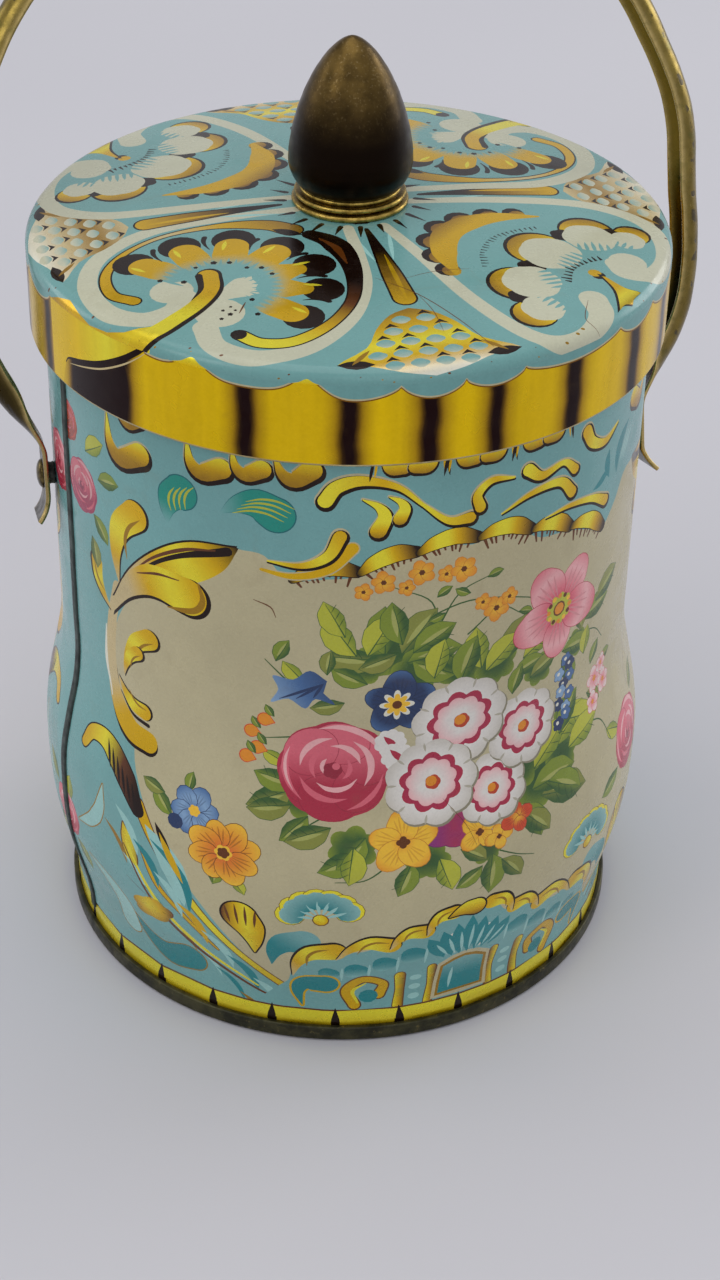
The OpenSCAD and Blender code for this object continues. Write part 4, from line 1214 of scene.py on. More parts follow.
def bouquet(s):
    """Roses, ruffled white flowers and small blooms, with leaves all round."""
    for path in ([(-8, 92), (-9, 100), (-16, 104)], [(-8, 94), (-4, 101), (2, 103.4)],
                 [(-2, 92), (4, 96), (9, 93)], [(-12, 96), (-2, 99), (10, 96), (18, 91)],
                 [(-24, 58), (-30, 54), (-32, 50)], [(-16, 46), (-20, 43), (-25, 42.6)],
                 [(2, 46), (8, 42), (12, 40)], [(-33, 72), (-38, 71)], [(-34, 84), (-38, 88)],
                 [(28, 60), (33, 58), (36, 52)], [(22, 82), (30, 80), (34, 76)]):
        s.band(path, [0.35, 0.28, 0.175], GREEN_DEEP, steps=6)
    for x, y, r in ((-16, 91, 5.4), (-11, 86, 5), (-20, 88, 4), (-3, 85, 4.6), (4, 84, 4.6), (14, 56, 6.4),
                    (10, 60, 5), (20, 58, 4.4), (-31, 60, 4.6), (-22, 50, 4.6), (-9, 46, 4.2),
                    (2, 45.6, 3.4), (22, 66, 3.4), (14, 79, 3.6), (24, 80, 3.2)):
        s.blob(x, y, r, round_fade((x, y), r, GREEN_DEEP * 0.8, GREEN_DEEP, GREEN), lobes=6, depth=0.22,
               turn=r * 70)
    for x, y, length, turn, tone in ((-18, 89, 10, 172, 2), (-17, 90, 10, 88, 0), (-14, 90, 10.5, 52, 2),
                                     (-13, 88, 10, 8, 0), (-22, 90, 9.5, 122, 1), (-4, 84, 9, 150, 0),
                                     (1, 84, 9, 96, 1), (6, 84, 9.5, 60, 2), (10, 83, 8, 25, 1),
                                     (14, 52, 12, -18, 2), (18, 60, 11, 28, 1), (10, 52, 9, -70, 0),
                                     (22, 64, 9, -20, 1), (-33, 61, 9, 205, 2), (-20, 49, 9, 205, 0),
                                     (-24, 94, 8, 115, 1), (-20, 90, 9, 60, 1), (-14, 92, 9, 100, 0),
                                     (-12, 90, 9, 30, 0), (-15, 90, 7, 200, 2), (-8, 84, 8, 75, 1),
                                     (-3, 82, 9.5, 70, 0), (2, 83, 9, 40, 1), (8, 80, 7, 10, 0),
                                     (-20, 84, 7, 150, 0), (-24, 80, 6, 190, 2), (-31, 84, 5.5, 130, 1),
                                     (-36, 88, 5, 60, 0), (-27, 86, 5, 80, 2), (-32, 62, 8, 165, 0),
                                     (-33, 58, 8, 190, 2), (-30, 56, 7, 225, 0), (-34, 66, 5, 150, 1),
                                     (-26, 54, 8.5, 200, 2), (-20, 52, 8, 230, 0), (-22, 50, 8, 262, 1),
                                     (-12, 46, 7.5, 250, 0), (-7, 46, 8, 285, 1), (-3, 47, 6, 320, 2),
                                     (3, 44, 9, 265, 0), (5, 42, 7, 305, 2), (1, 42, 6, 215, 0),
                                     (12, 54, 11, 0, 0), (13, 58, 11, 35, 1), (16, 54, 9.5, -35, 0),
                                     (22, 58, 10, 12, 1), (10, 50, 8, -50, 2), (20, 62, 9, 50, 0),
                                     (20, 80, 8, -10, 0), (26, 84, 9, 5, 0), (30, 86, 9, 20, 2),
                                     (20, 78, 7, -60, 0), (12, 78, 7, 20, 2), (8, 76, 6, 70, 0),
                                     (30, 72, 5, 60, 0), (29, 66, 5.5, -40, 2), (34, 70, 4.5, 10, 0),
                                     (27, 76, 6, 80, 1), (24, 88, 6, -80, 2)):
        sprig_leaf(s, x, y, length, turn, tone=tone)
    for x, y, r in ((-17.6, 105, 2.0), (-21, 103.2, 1.5), (-11, 106.4, 2.2), (-6.6, 105.4, 1.5),
                    (-3.4, 105.8, 2.3), (-13.6, 103.6, 1.4), (3.4, 96, 2.4), (0.6, 98, 1.5),
                    (6, 97.6, 1.6)):
        star_flower(s, x, y, r, 5, (YELLOW, ORANGE), ORANGE * 0.8, BROWN_WARM, turn=r * 50)
    for x, y, t in ((-8, 101, 30), (-2, 100.6, 150), (1.4, 103, 10), (8.4, 93.6, -20), (-6.6, 97.4, 200)):
        sprig_leaf(s, x, y, 3, t)
    for x, y in ((-40.5, 72), (-39.4, 68.6), (-41.4, 66.4), (-38, 75)):
        s.drop((x + 1.6, y - 0.4), (x, y), 1.3, ORANGE, outline=RED, line=0.2)
        sprig_leaf(s, x + 1.6, y + 1, 2.6, 120)
    s.draw(spline([(-27, 84.6), (-30, 86.6), (-33, 84.4), (-36.6, 84.8), (-35.6, 82), (-37, 79),
                   (-33.8, 80.2), (-30.8, 78.4), (-29, 80.6), (-25.6, 79.6), (-27.6, 82)], 4),
           fade((-37, 80), (-26, 86), BLUE_PALE, BLUE, BLUE_DEEP))
    for i in range(3):
        s.leaf((-27.6, 84), (-35.4 + i * 3, 80 + 0.4 * i), 0.6, BLUE_DEEP)
    petals(s, -14.2, 79.6, 6.4, 5, (BLUE, BLUE_DEEP, BLUE_DEEP, BLUE), BLUE_DEEP * 0.5, 0.5, 0.54, turn=18)
    s.blob(-14.6, 79.2, 3.2, CREAM_PALE, lobes=8, depth=0.5)
    s.blob(-14.6, 79.2, 2.4, YELLOW, lobes=8, depth=0.4)
    s.blob(-14.6, 79.2, 0.9, BROWN_WARM)
    petals(s, 18.4, 90.4, 10.6, 5, (PINK_DEEP, PINK, PINK_PALE, PINK), PINK_DEEP, 0.58, 0.46, turn=52)
    s.blob(18.2, 90.2, 3.4, GREEN_PALE, lobes=9, depth=0.3)
    for i in range(12):
        a = 2 * math.pi * i / 12
        s.blob(18.2 + 2.7 * math.cos(a), 90.2 + 2.7 * math.sin(a), 0.5, (ORANGE, YELLOW, BROWN_WARM)[i % 3])
    s.blob(18.2, 90.2, 1.2, ORANGE, outline=BROWN_WARM)
    for i in range(11):
        x, y = 21.4 + 1.7 * math.sin(i * 2.4), 77.6 - i * 1.35
        s.blob(x, y, 1.45, (BLUE, BLUE_DEEP, BLUE_PALE)[i % 3], lobes=5, depth=0.25, outline=BLUE_DEEP,
               line=0.12)
        s.blob(x - 0.2, y + 0.2, 0.4, CREAM_PALE)
    for x, y, r in ((32, 67.6, 2.6), (35.6, 65.4, 2.2), (31, 63, 2.0), (34.6, 69.6, 1.8)):
        star_flower(s, x, y, r, 5, (PINK, PINK_PALE, WHITE), PINK, ORANGE, turn=r * 40)
    s.blob(-4.6, 51.4, 5.2, fade((-8, 51), (0, 51), PURPLE, MAGENTA, PURPLE), squash=0.7, lobes=5,
           depth=0.2, outline=PURPLE * 0.5, line=0.2)
    for x, y, r, n, t in ((-13.4, 50.6, 6.4, 5, 20), (0.6, 49.6, 4.2, 4, 40), (4.4, 47.4, 2.8, 4, 10)):
        petals(s, x, y, r, n, (ORANGE, YELLOW, YELLOW, ORANGE), ORANGE * 0.7, 0.5, 0.5, turn=t)
        s.blob(x, y, r * 0.2, BROWN_WARM, lobes=4, depth=0.3)
    petals(s, 8.4, 50, 3.6, 4, (YELLOW, RED, RED), RED * 0.6, 0.45, 0.5, turn=15)
    rose(s, -25.4, 65.6, 10.4)
    for x, y in ((-15.6, 71), (-14.4, 68)):
        s.blob(x, y, 3, WHITE, lobes=9, depth=0.12)
        s.leaf((x - 1.2, y + 1.4), (x + 1.4, y - 1.4), 1.3, PINK_DEEP)
    ruffled(s, 3.6, 57.6, 7.2, 20)
    ruffled(s, 10.8, 67.8, 8.0, 5)
    ruffled(s, -2.6, 73.6, 9.4, 12)
    ruffled(s, -8.0, 61.8, 8.8, 0)


def side_sprigs(s):
    """Small flowers in the picture's lower corners, and roses at its sides."""
    for x, y, length, turn, tone in ((-55, 50, 6, 130, 0), (-57, 54, 5, 165, 2), (-46, 43, 5, 260, 0),
                                     (-43, 40.6, 4, 300, 1), (-52, 56, 4, 80, 0)):
        sprig_leaf(s, x, y, length, turn, tone=tone)
    star_flower(s, -50.6, 52.6, 4.6, 6, (BLUE, BLUE_PALE, BLUE), BLUE_DEEP, YELLOW, turn=10)
    s.blob(-54.2, 49.2, 1.6, BLUE_DEEP)
    star_flower(s, -44.6, 45.8, 6.6, 8, (RED, ORANGE, YELLOW), BROWN_WARM, YELLOW, turn=20)
    s.blob(-44.6, 45.8, 1.2, BROWN_WARM, lobes=5, depth=0.2)
    for x, y, length, turn, tone in ((38, 44, 7, 200, 0), (40, 52, 6, 150, 1), (50, 42, 7, -40, 0),
                                     (50, 54, 6, 50, 2)):
        sprig_leaf(s, x, y, length, turn, tone=tone)
    rose(s, 45, 47.6, 7.4)
    for x, y, length, turn, tone in ((-78, 116, 7, 30, 1), (-76, 104, 6, -50, 0), (-82, 117, 6, 110, 0),
                                     (-77, 99, 6, -80, 2), (-74, 112, 6, 10, 0), (76, 112, 7, 150, 0),
                                     (78, 100, 6, 230, 1), (-83, 27, 6.5, -52, 0), (83.4, 29, 6, 236, 2),
                                     (-84, 36, 6, 84, 1), (82.6, 36.4, 7, 128, 0)):
        sprig_leaf(s, x, y, length, turn, tone=tone)
    rose(s, -80.0, 108, 5.4, (MAGENTA * 0.9, PINK * 0.8, PINK_PALE * 0.75))
    rose(s, -84.8, 119, 4.0, (RED * 0.5, RED * 0.8, PINK * 0.8))
    rose(s, 80.4, 107, 6.0)
    for side in (-1, 1):
        rose(s, side * HALF_PANEL, 32, 5.4)


def foot_band(s):
    """The gold band along the foot, with its dark ticks."""
    s.draw([(-90, -2), (90, -2), (90, 6.9), (-90, 6.9)], fade((0, 7), (0, 2.6), GOLD_PALE, GOLD_PALE, GOLD))
    s.draw([(-90, 6.7), (90, 6.7), (90, 7.1), (-90, 7.1)], BROWN_WARM)
    for i in range(-7, 8):
        x = i * 12.32
        s.drop((x, 7.4), (x + rng.uniform(-0.4, 0.4), 3.4), 0.9, BROWN)
        s.draw([(x - 0.7, 4), (x + 0.9, 4), (x + 1.2, -2), (x - 1.1, -2)], BROWN)


def body_print(low, high):
    """One of the body's two pictures, laid flat, from the seam to the join opposite it."""
    s = Print()
    s.draw([(-HALF_PANEL - 2, low - 1), (HALF_PANEL + 2, low - 1), (HALF_PANEL + 2, high + 1),
            (-HALF_PANEL - 2, high + 1)], fade((0, 130), (0, 5), TEAL * 0.98, TEAL, TEAL * 1.02))
    picture(s)
    top_scrolls(s)
    for _ in s.both_ways():
        sweep(s)
    lower_border(s)
    for _ in s.both_ways():
        shell_fan(s, -27.4, 33.6, 8)
        acanthus(s)
    side_sprigs(s)
    bouquet(s)
    foot_band(s)
    for path, w in (([(-6, 58), (-2, 52), (0, 47)], 0.12), ([(52, 70), (48, 60), (49, 55)], 0.14),
                    ([(-40, 100), (-37, 99), (-36, 97)], 0.3), ([(-66, 30), (-60, 27)], 0.15)):
        s.band(path, [w * 0.4, w, w * 0.4], BROWN_WARM, steps=4)
    return s


def wall_space(middle_az):
    """From the body's flat print to its wall, around an azimuth in degrees."""
    def to_space(xy):
        az = math.radians(middle_az) + xy[:, 0] / WALL_R
        r = body_radius(xy[:, 1])
        slope = (body_radius(xy[:, 1] + 0.05) - body_radius(xy[:, 1] - 0.05)) / 0.1
        flat = 1 / np.sqrt(1 + slope ** 2)
        return (np.column_stack([r * np.sin(az), -r * np.cos(az), xy[:, 1]]),
                np.column_stack([np.sin(az) * flat, -np.cos(az) * flat, -slope * flat]))
    return to_space


def skirt_space(xy):
    """From the flat skirt print to the skirt's wall."""
    az = xy[:, 0] / LID_R
    way = np.column_stack([np.sin(az), -np.cos(az)])
    return np.column_stack([way * LID_R, xy[:, 1]]), np.column_stack([way, np.zeros(len(xy))])


def grid_points(x0, x1, nx, y0, y1, ny):
    """Inner points that let a flat sheet follow the tin's curve."""
    return [(x, y) for i, y in enumerate(np.linspace(y0, y1, ny + 1)[1:-1])
            for x in np.linspace(x0, x1, nx + 1)[1:-1] + (0.25 if i % 2 else -0.25) * (x1 - x0) / nx]


def rectangle(x0, x1, y0, y1, nx, ny):
    """Outline of a rectangle with nx and ny points to its sides."""
    xs, ys = np.linspace(x0, x1, nx + 1), np.linspace(y0, y1, ny + 1)
    return ([(x, y0) for x in xs[:-1]] + [(x1, y) for y in ys[:-1]] + [(x, y1) for x in xs[:0:-1]]
            + [(x0, y) for y in ys[:0:-1]])


# ---------------------------------------------------------------- pieces of the tin
BODY_LOW, BODY_HIGH = 0.75, MOUTH_Z - 1.7       # the wall between the rolled ring and the mouth's curl


def build_body(look, inside, seam):
    """The printed wall in four pieces, the lacquered inside with the curled mouth, and the seam."""
    low, high = BODY_LOW, BODY_HIGH
    nx, ny = 72, 84
    sheet = body_print(low, high)
    hull = rectangle(-HALF_PANEL, HALF_PANEL, low, high, nx, ny)
    middle = [(0.0, y) for y in np.linspace(low, high, ny + 1)]
    verts, tris, inks = triangulate(sheet, hull, grid_points(-HALF_PANEL, HALF_PANEL, nx, low, high, ny)
                                    + middle)
    left = verts[tris].mean(1)[:, 0] < 0
    for name, az in (("front", PANEL_AZ), ("back", PANEL_AZ + 180)):
        for side, chosen in (("left", left), ("right", ~left)):
            print_piece(f"body_print_{name}_{side}", verts, tris[chosen], inks[chosen], wall_space(az),
                        look, "tin", "printed_body", ("body_shell",))
    z = np.linspace(low, BULGE_TOP, 48)
    inner = [(float(r) - SHEET, float(h)) for r, h in zip(body_radius(z), z)]
    inner += [(WALL_R - SHEET, MOUTH_Z - drop) for drop in (2, 1.4, 0.9)]
    curl_r = 0.8
    curl = arc(WALL_R - SHEET + curl_r, MOUTH_Z - curl_r, curl_r, 180, -90, 16)
    lathe("body_inside", inner + curl + [(WALL_R, high)], inside, "tin", closed=False,
          replaces=("body_shell",), slot="printed_body", sharp=50)
    build_seam(seam)


def build_seam(look):
    """The locked side seam: a flattened strip that stands slightly proud of the wall."""
    z = np.linspace(FOOT_Z - 1, BODY_HIGH, 170)
    across = [(-1.2, -0.15), (-1.15, 0.16), (-0.95, 0.32), (-0.35, 0.36), (0.35, 0.33), (0.85, 0.34),
              (1.08, 0.16), (1.12, -0.15)]
    verts = []
    for h, r in zip(z, body_radius(z)):
        sway = 0.12 * math.sin(h * 0.21) + 0.06 * math.sin(h * 0.63)
        for off, proud in across:
            az = math.radians(SEAM_AZ) + (off + sway) / WALL_R
            verts.append(((r + proud) * math.sin(az), -(r + proud) * math.cos(az), h))
    n = len(across)
    faces = [(i * n + j, i * n + (j + 1) % n, (i + 1) * n + (j + 1) % n, (i + 1) * n + j)
             for i in range(len(z) - 1) for j in range(n)]
    faces += [tuple(range(n))[::-1], tuple(range((len(z) - 1) * n, len(z) * n))]
    finish_mesh("body_seam", np.array(verts) * MM, faces, look, "tin", ("body_shell",), "printed_body",
                sharp=50)


def build_base(look):
    """The base: a panel with a round bead pressed into it, and the rolled ring at its edge."""
    panel_z, panel_t, bead = 1.8, 0.5, 42.0
    in_r = FOOT_R - SHEET - 0.05
    profile = ([(0, panel_z), (bead - 3, panel_z)] + arc(bead, panel_z - 2.3, 3.8, 128, 52, 8)[1:-1]
               + [(bead + 3, panel_z), (in_r - 1.1, panel_z)] + arc(in_r - 0.4, 0.5, 0.5, 180, 270, 6)
               + arc(RING_R - 0.5, 0.5, 0.5, 270, 360, 6) + arc(RING_R - 0.4, RING_H - 0.4, 0.4, 0, 90, 6)
               + [(FOOT_R + 0.12, RING_H), (FOOT_R + 0.12, 0.65), (in_r, 0.65), (in_r, panel_z + panel_t),
                  (bead + 3.3, panel_z + panel_t)] + arc(bead, panel_z - 1.9, 4.0, 56, 124, 8)[1:-1]
               + [(bead - 3.3, panel_z + panel_t), (0, panel_z + panel_t)])
    lathe("base_ring_and_panel", profile, look, "tin", closed=False, replaces=("base_plate",),
          slot="base_ring", steps=256, sharp=40)


def build_lid(look, skirt_skin, inside):
    """The printed top, the printed skirt, and the lacquered inside with the curled hem."""
    steps, hole_r, pitch = 240, 8.5, 2.2
    rings = []
    for r in np.linspace(hole_r + 0.5, LID_EDGE, 34)[1:-1]:
        n = int(2 * math.pi * r / pitch)
        rings += circle(r, n, 0.5 * (n % 2))
    for r in np.linspace(DOME_END, LID_EDGE, 8)[:-1]:
        rings += circle(r, steps)
    verts, tris, inks = triangulate(lid_print(), circle(LID_EDGE, steps), rings,
                                    keep=lambda m: np.linalg.norm(m, axis=1) > hole_r)
    print_piece("lid_print", verts, tris, inks, lid_space, look, "lid", "printed_lid", ("lid_shell",))
    half, low = math.pi * LID_R, HEM_Z + 0.5
    hull = rectangle(-half, half, low, SHOULDER_Z, 480, 6)
    verts, tris, inks = triangulate(skirt_print(low, SHOULDER_Z), hull,
                                    grid_points(-half, half, 640, low, SHOULDER_Z, 8))
    print_piece("lid_skirt_print", verts, tris, inks, skirt_space, skirt_skin, "lid", "printed_lid",
                ("lid_shell",))
    dome = [(DOME_R - SHEET, a) for a in np.linspace(math.pi / 2 - 0.02, JOIN_A, 14)]
    under = [(r * math.cos(a), DOME_Z + r * math.sin(a)) for r, a in dome]
    shoulder = arc(SHOULDER_AT, SHOULDER_Z, SHOULDER_R - SHEET, math.degrees(JOIN_A), 0, 8)
    hem = arc(LID_R - 0.5, HEM_Z + 0.5, 0.5, 120, 360, 14)
    lathe("lid_inside", [(8, SEAT_Z - 0.1), (8, SEAT_Z - SHEET)] + [p for p in under if p[0] > 8.2]
          + shoulder[1:] + [(LID_R - SHEET, HEM_Z + 1.2)] + hem, inside, "lid", steps=steps, closed=False,
          replaces=("lid_shell",), slot="printed_lid", sharp=60)


def build_finial(brass, bronze):
    """The stepped collar, and the knob: an ellipse up to its widest place, a pointed curve above."""
    r, z, shaft = collar_high[0], SEAT_Z, SHAFT_R
    lathe("finial_collar_turned", [(shaft, z)] + arc(r - 0.55, z + 0.55, 0.55, -90, 80, 10)
          + [(r - 0.8, z + 1.22), (r - 1.0, z + 1.3)] + arc(r - 0.95, z + 1.92, 0.5, -70, 85, 10)
          + [(r - 1.3, z + 2.5), (r - 1.5, z + 2.6)] + arc(r - 1.7, z + 2.98, 0.42, -60, 90, 8)
          + [(shaft, collar_high[2])], brass, "lid", replaces=("finial_collar",), slot="polished_brass",
          sharp=60)
    low, top, wide, power = 4.7, 22.0, knob_high[0], 1.62
    height = low + top
    bore = [(shaft, knob_low[2] + 11.8), (shaft, knob_low[2])]
    outer = [(1.7, knob_low[2])]
    for i in range(90):
        h = height * math.sin(math.pi / 2 * i / 89)
        if h < low:
            r = wide * math.sqrt(1 - ((low - h) / (1.75 * low)) ** 2)
        else:
            r = wide * max(0, 1 - ((h - low) / top) ** power) ** (1 / power)
        wear = 0.016 * math.sin(h * 1.9 + 1) + 0.008 * math.sin(h * 4.3)
        outer.append((max(0.0, r + (wear if 1 < h < height - 2 else 0)), knob_low[2] + h))
    lathe("finial_knob_turned", bore + outer, bronze, "lid", closed=False, replaces=("finial_knob",),
          slot="dark_bronze", sharp=60, steps=160)


def pivot_axis(side):
    """Matrix whose Z runs outwards along the pivot, in metres."""
    return Matrix.Translation((0, 0, PIVOT_Z * MM)) @ Matrix.Rotation(side * math.pi / 2, 4, "Y")


def build_pivots(brass, dark):
    """At each side a rivet with a domed outer head, and the spacer between wall and strip."""
    inner, outer = rivet_low[0], rivet_high[0]
    head_r, head_h, foot_r, pin_r = 2.72, 1.1, 3.0, 1.5
    for name, side in (("left", -1), ("right", 1)):
        axis = pivot_axis(side)
        head = [(head_r * math.cos(math.radians(a)), outer - head_h + head_h * math.sin(math.radians(a)))
                for a in range(0, 90, 9)]
        foot = [(0, inner), (foot_r - 0.3, inner)] + arc(foot_r - 0.2, inner + 0.2, 0.2, -90, 0, 4)
        pin = [(foot_r, inner + 0.9), (pin_r, inner + 0.9), (pin_r, outer - head_h),
               (head_r - 0.1, outer - head_h)]
        lathe(f"{name}_rivet_turned", foot + pin + head + [(0, outer)], brass, "tin", axis=axis, steps=48,
              closed=False, replaces=(f"{name}_rivet",), slot="rivet_brass", sharp=50)
        a, b, r = spacer_low[0], spacer_high[0], 2.1
        lathe(f"{name}_spacer_turned", [(SHAFT_R, a), (r - 0.15, a), (r, a + 0.15), (r - 0.12, (a + b) / 2),
                                        (r, b - 0.15), (r - 0.15, b), (SHAFT_R, b)], dark, "tin", axis=axis,
              steps=48, replaces=(f"{name}_spacer",), slot="dark_steel", sharp=50)


# ---------------------------------------------------------------- the bail
LEAN = 18.3                                 # degrees back from upright
STRAP_IN = spacer_high[0] + 0.05            # middle of the flat ends' thickness, on the spacers
BOW_HALF = 65.5                             # half the bow's width, at its widest
FLAT_W, TAIL_W, FLAT_T = 11.0, 12.5, 0.9    # the flat end, the tip of its tail, and their thickness
STRAP_W, STRAP_T = 9.0, 0.8                 # the half-round part
ROLL = math.radians(164)                    # how far round the half-round part goes
STRIP_W = (STRAP_W - STRAP_T) * ROLL / 2 / math.sin(ROLL / 2)
FLAT_ROWS = [-3, -2.25, -1.5, -0.75, 0, 0.75, 1.5, 2.25, 3, 4]      # heights of sections on the flat end
HOLE_ROWS = (-2.25, 2.25)                   # the first and last of those that the rivet's hole cuts


def strap_stations():
    """Half of the bail's path, from the tail's tip to the crown.

    Each station is x, z, the way it faces, the strip's width, how far it is rolled, and its thickness.
    """
    tail_a, tail_r, flat_low, neck_z, widest = 42, 8.0, -3.0, 4.0, 35.0
    side_r, side_a, corner_r, corner_a = 130.0, 13, 50.0, 60
    neck_a = math.degrees(2 * math.atan2(BOW_HALF - STRAP_IN, widest - neck_z))
    neck_r = (widest - neck_z) / math.sin(math.radians(neck_a))
    out_r, in_r = 0.45 * neck_r, 0.55 * neck_r
    c, s = lambda a: math.cos(math.radians(a)), lambda a: math.sin(math.radians(a))
    corner_x = BOW_HALF - side_r + (side_r - corner_r) * c(side_a)
    corner_z = widest + (side_r - corner_r) * s(side_a)
    top_r = corner_r + corner_x / c(corner_a)
    top_z = corner_z - (top_r - corner_r) * s(corner_a)
    out = []

    def add(cx, cz, r, a, facing, m, w=None):
        """A station on an arc; m goes from 0, flat, to 1, half round."""
        out.append((cx + r * c(a), cz + r * s(a), facing, w or FLAT_W + (STRIP_W - FLAT_W) * m, ROLL * m,
                    FLAT_T + (STRAP_T - FLAT_T) * m))

    for i in range(14):
        t = 1 - i / 14
        w = FLAT_W + (TAIL_W - FLAT_W) * t ** 1.6
        add(STRAP_IN + tail_r, flat_low, tail_r, 180 + tail_a * t, tail_a * t, 0, w)
    for z in FLAT_ROWS:
        out.append((STRAP_IN, z, 0, FLAT_W, 0, FLAT_T))
    for i in range(1, 25):
        a = neck_a * i / 24
        add(STRAP_IN + out_r, neck_z, out_r, 180 - a, -a, float(ease(i / 24)))
    for cx, cz, r, a0, a1, n in ((BOW_HALF - in_r, widest, in_r, -neck_a, 0, 16),
                                 (BOW_HALF - side_r, widest, side_r, 0, side_a, 16),
                                 (corner_x, corner_z, corner_r, side_a, corner_a, 24),
                                 (0, top_z, top_r, corner_a, 90, 24)):
        for i in range(1, n + 1):
            a = a0 + (a1 - a0) * i / n
            add(cx, cz, r, a, a, 1)
    return out


ACROSS = 16                                 # steps from lip to lip on each side of the strip
LIP = (60, 30, 0, -30, -60)                 # angles round a lip


def strap_ring(st):
    """Closed section of the strip at a station: its points, and their wear, groove and row of marks."""
    x, z, facing, w, roll, t = st
    flat_w = w - t
    roll = max(roll, 1e-4)
    r = flat_w / roll
    sink = r * math.cos(roll / 2) - t / 2
    points, wear, groove, row = [], [], [], []

    def put(s, off, worn, lip=0.0, deep=0.0, mark=0.0):
        """A point at distance s across the strip, off its middle surface and out along the lip."""
        a = s / r
        d = (r + off) * math.cos(a) - lip * math.sin(a) - sink
        v = (r + off) * math.sin(a) + lip * math.cos(a)
        f = math.radians(facing)
        points.append((x + d * math.cos(f), v, z + d * math.sin(f)))
        wear.append(worn)
        groove.append(deep)
        row.append(mark * min(roll, 1.0))

    for u in np.linspace(-1, 1, ACROSS + 1).tolist():
        put(u * flat_w / 2, t / 2, 0.1 + 0.8 * abs(u) ** 12, mark=math.exp(-((abs(u) - 0.6) / 0.2) ** 2))
    for a in LIP:
        put(flat_w / 2, t / 2 * math.sin(math.radians(a)), 1.0, t / 2 * math.cos(math.radians(a)))
    for u in np.linspace(1, -1, ACROSS + 1).tolist():
        put(u * flat_w / 2, -t / 2, 0.5 * abs(u) ** 14, deep=1 - 0.6 * abs(u) ** 8)
    for a in LIP[::-1]:
        put(-flat_w / 2, t / 2 * math.sin(math.radians(a)), 1.0, -t / 2 * math.cos(math.radians(a)))
    return points, wear, groove, row


def strap_wear(x, y, z):
    """How far use has bent the strip at a place: small dents, necks and right shoulder pushed outwards."""
    outwards = 1 if x > 0 else -1
    free = min(1.0, max(0.0, (z - 8) / 10))
    dent = 0.03 * math.sin(z * 0.31 + x * 0.17) + 0.02 * math.sin(z * 0.83 + y)
    neck = (2.2 if x > 0 else 1.9) * float((1 - ease((z - 4) / 31)) * ease((z - 4) / 8))
    shoulder = 1.25 * math.sin(math.pi * (z - 42) / 33) ** 2 if x > 0 and 42 < z < 75 else 0.0
    tail = 0.22 * max(0.0, -4 - z) if x > 0 else 0.0
    high = min(1.0, max(0.0, (z - 50) / 30))
    pushed = neck + shoulder + tail - free * (dent + 0.17)
    return Vector((outwards * pushed, free * dent * 0.6, -0.16 * high))


def build_strap(look):
    """The bail in one piece: sections along its path, with a hole for the rivet in each flat end."""
    half = strap_stations()
    path = half + [(-x, z, 180 - f, w, roll, t) for x, z, f, w, roll, t in reversed(half[:-1])]
    m = 2 * (ACROSS + 1 + len(LIP))
    shade_below, shade_fade = 134, 22      # height below which the leg is dark, and the height it fades over
    verts, layers = [], {"wear": [], "groove": [], "row": [], "painted_shade": []}
    for st in path:
        points, *values = strap_ring(st)
        for p in points:
            verts.append(Vector(p) + strap_wear(*p))
        for layer, value in zip(layers.values(), values):
            layer += value
        # painted shade: the lower legs are darkened as if in shadow, fully on the left leg and in the
        # channel, a quarter as much elsewhere, less on the worn lips
        low = float(1 - ease((points[0][2] + PIVOT_Z - shade_below) / shade_fade))
        left = 1.0 if st[0] < 0 else 0.0
        layers["painted_shade"] += [low * 0.97 * (1 - 0.75 * w) * max(left, g, 0.25)
                           for w, g in zip(values[0], values[1])]
    faces = []
    rows = {}
    for i, (x, z, facing, _, roll, _) in enumerate(path):
        on_flat = roll == 0 and facing in (0, 180) and abs(x) < STRAP_IN + 1e-6
        if on_flat and HOLE_ROWS[0] <= z <= HOLE_ROWS[1]:
            rows.setdefault(x > 0, []).append(i)
    j0, j1 = ACROSS // 4, ACROSS - ACROSS // 4
    holed = set()
    for ids in rows.values():
        holed |= {(i, j) for i in ids[:-1] for j in range(j0, j1)}
        holed |= {(i, m // 2 + j) for i in ids[:-1] for j in range(j0, j1)}
    for i in range(len(path) - 1):
        for j in range(m):
            if (i, j) not in holed:
                faces.append((i * m + j, i * m + (j + 1) % m, (i + 1) * m + (j + 1) % m, (i + 1) * m + j))
    for i in (0, len(path) - 1):
        ring = [i * m + j for j in range(m)]
        faces.append(tuple(ring if i else ring[::-1]))
    for ids in rows.values():
        a, b = ids[0], ids[-1]
        rims = []
        for base in (0, m // 2):
            loop = ([(a, j) for j in range(j0, j1)] + [(i, j1) for i in range(a, b)]
                    + [(b, j) for j in range(j1, j0, -1)] + [(i, j0) for i in range(b, a, -1)])
            outer = [i * m + base + j for i, j in loop]
            rim = []
            for k in outer:
                p = verts[k]
                angle = math.atan2(p[2], p[1])
                rim.append(len(verts))
                verts.append(Vector((p[0], SHAFT_R * math.cos(angle), SHAFT_R * math.sin(angle))))
                # the rivet hole's wall is worn, and painted dark as shade
                for layer, value in zip(layers.values(), (0.6, 0.0, 0.0, 0.8)):
                    layer.append(value)
            n = len(outer)
            faces += [(outer[k], outer[(k + 1) % n], rim[(k + 1) % n], rim[k]) for k in range(n)]
            rims.append(rim)
        first, second = rims
        near = {k: min(second, key=lambda q: (verts[q] - verts[k]).length) for k in first}
        n = len(first)
        faces += [(first[k], first[(k + 1) % n], near[first[(k + 1) % n]], near[first[k]])
                  for k in range(n)]
    place = Matrix.Translation((0, 0, PIVOT_Z)) @ Matrix.Rotation(math.radians(-LEAN), 4, "X")
    piece = finish_mesh("handle_strap_formed", [place @ v * MM for v in verts], faces, look, "handle",
                        ("handle_strap",), "worn_brass", sharp=60)
    face_outwards(piece)
    for key, values in layers.items():
        layer = piece.data.attributes.new(key, "FLOAT", "POINT")
        layer.data.foreach_set("value", np.array(values, np.float32))


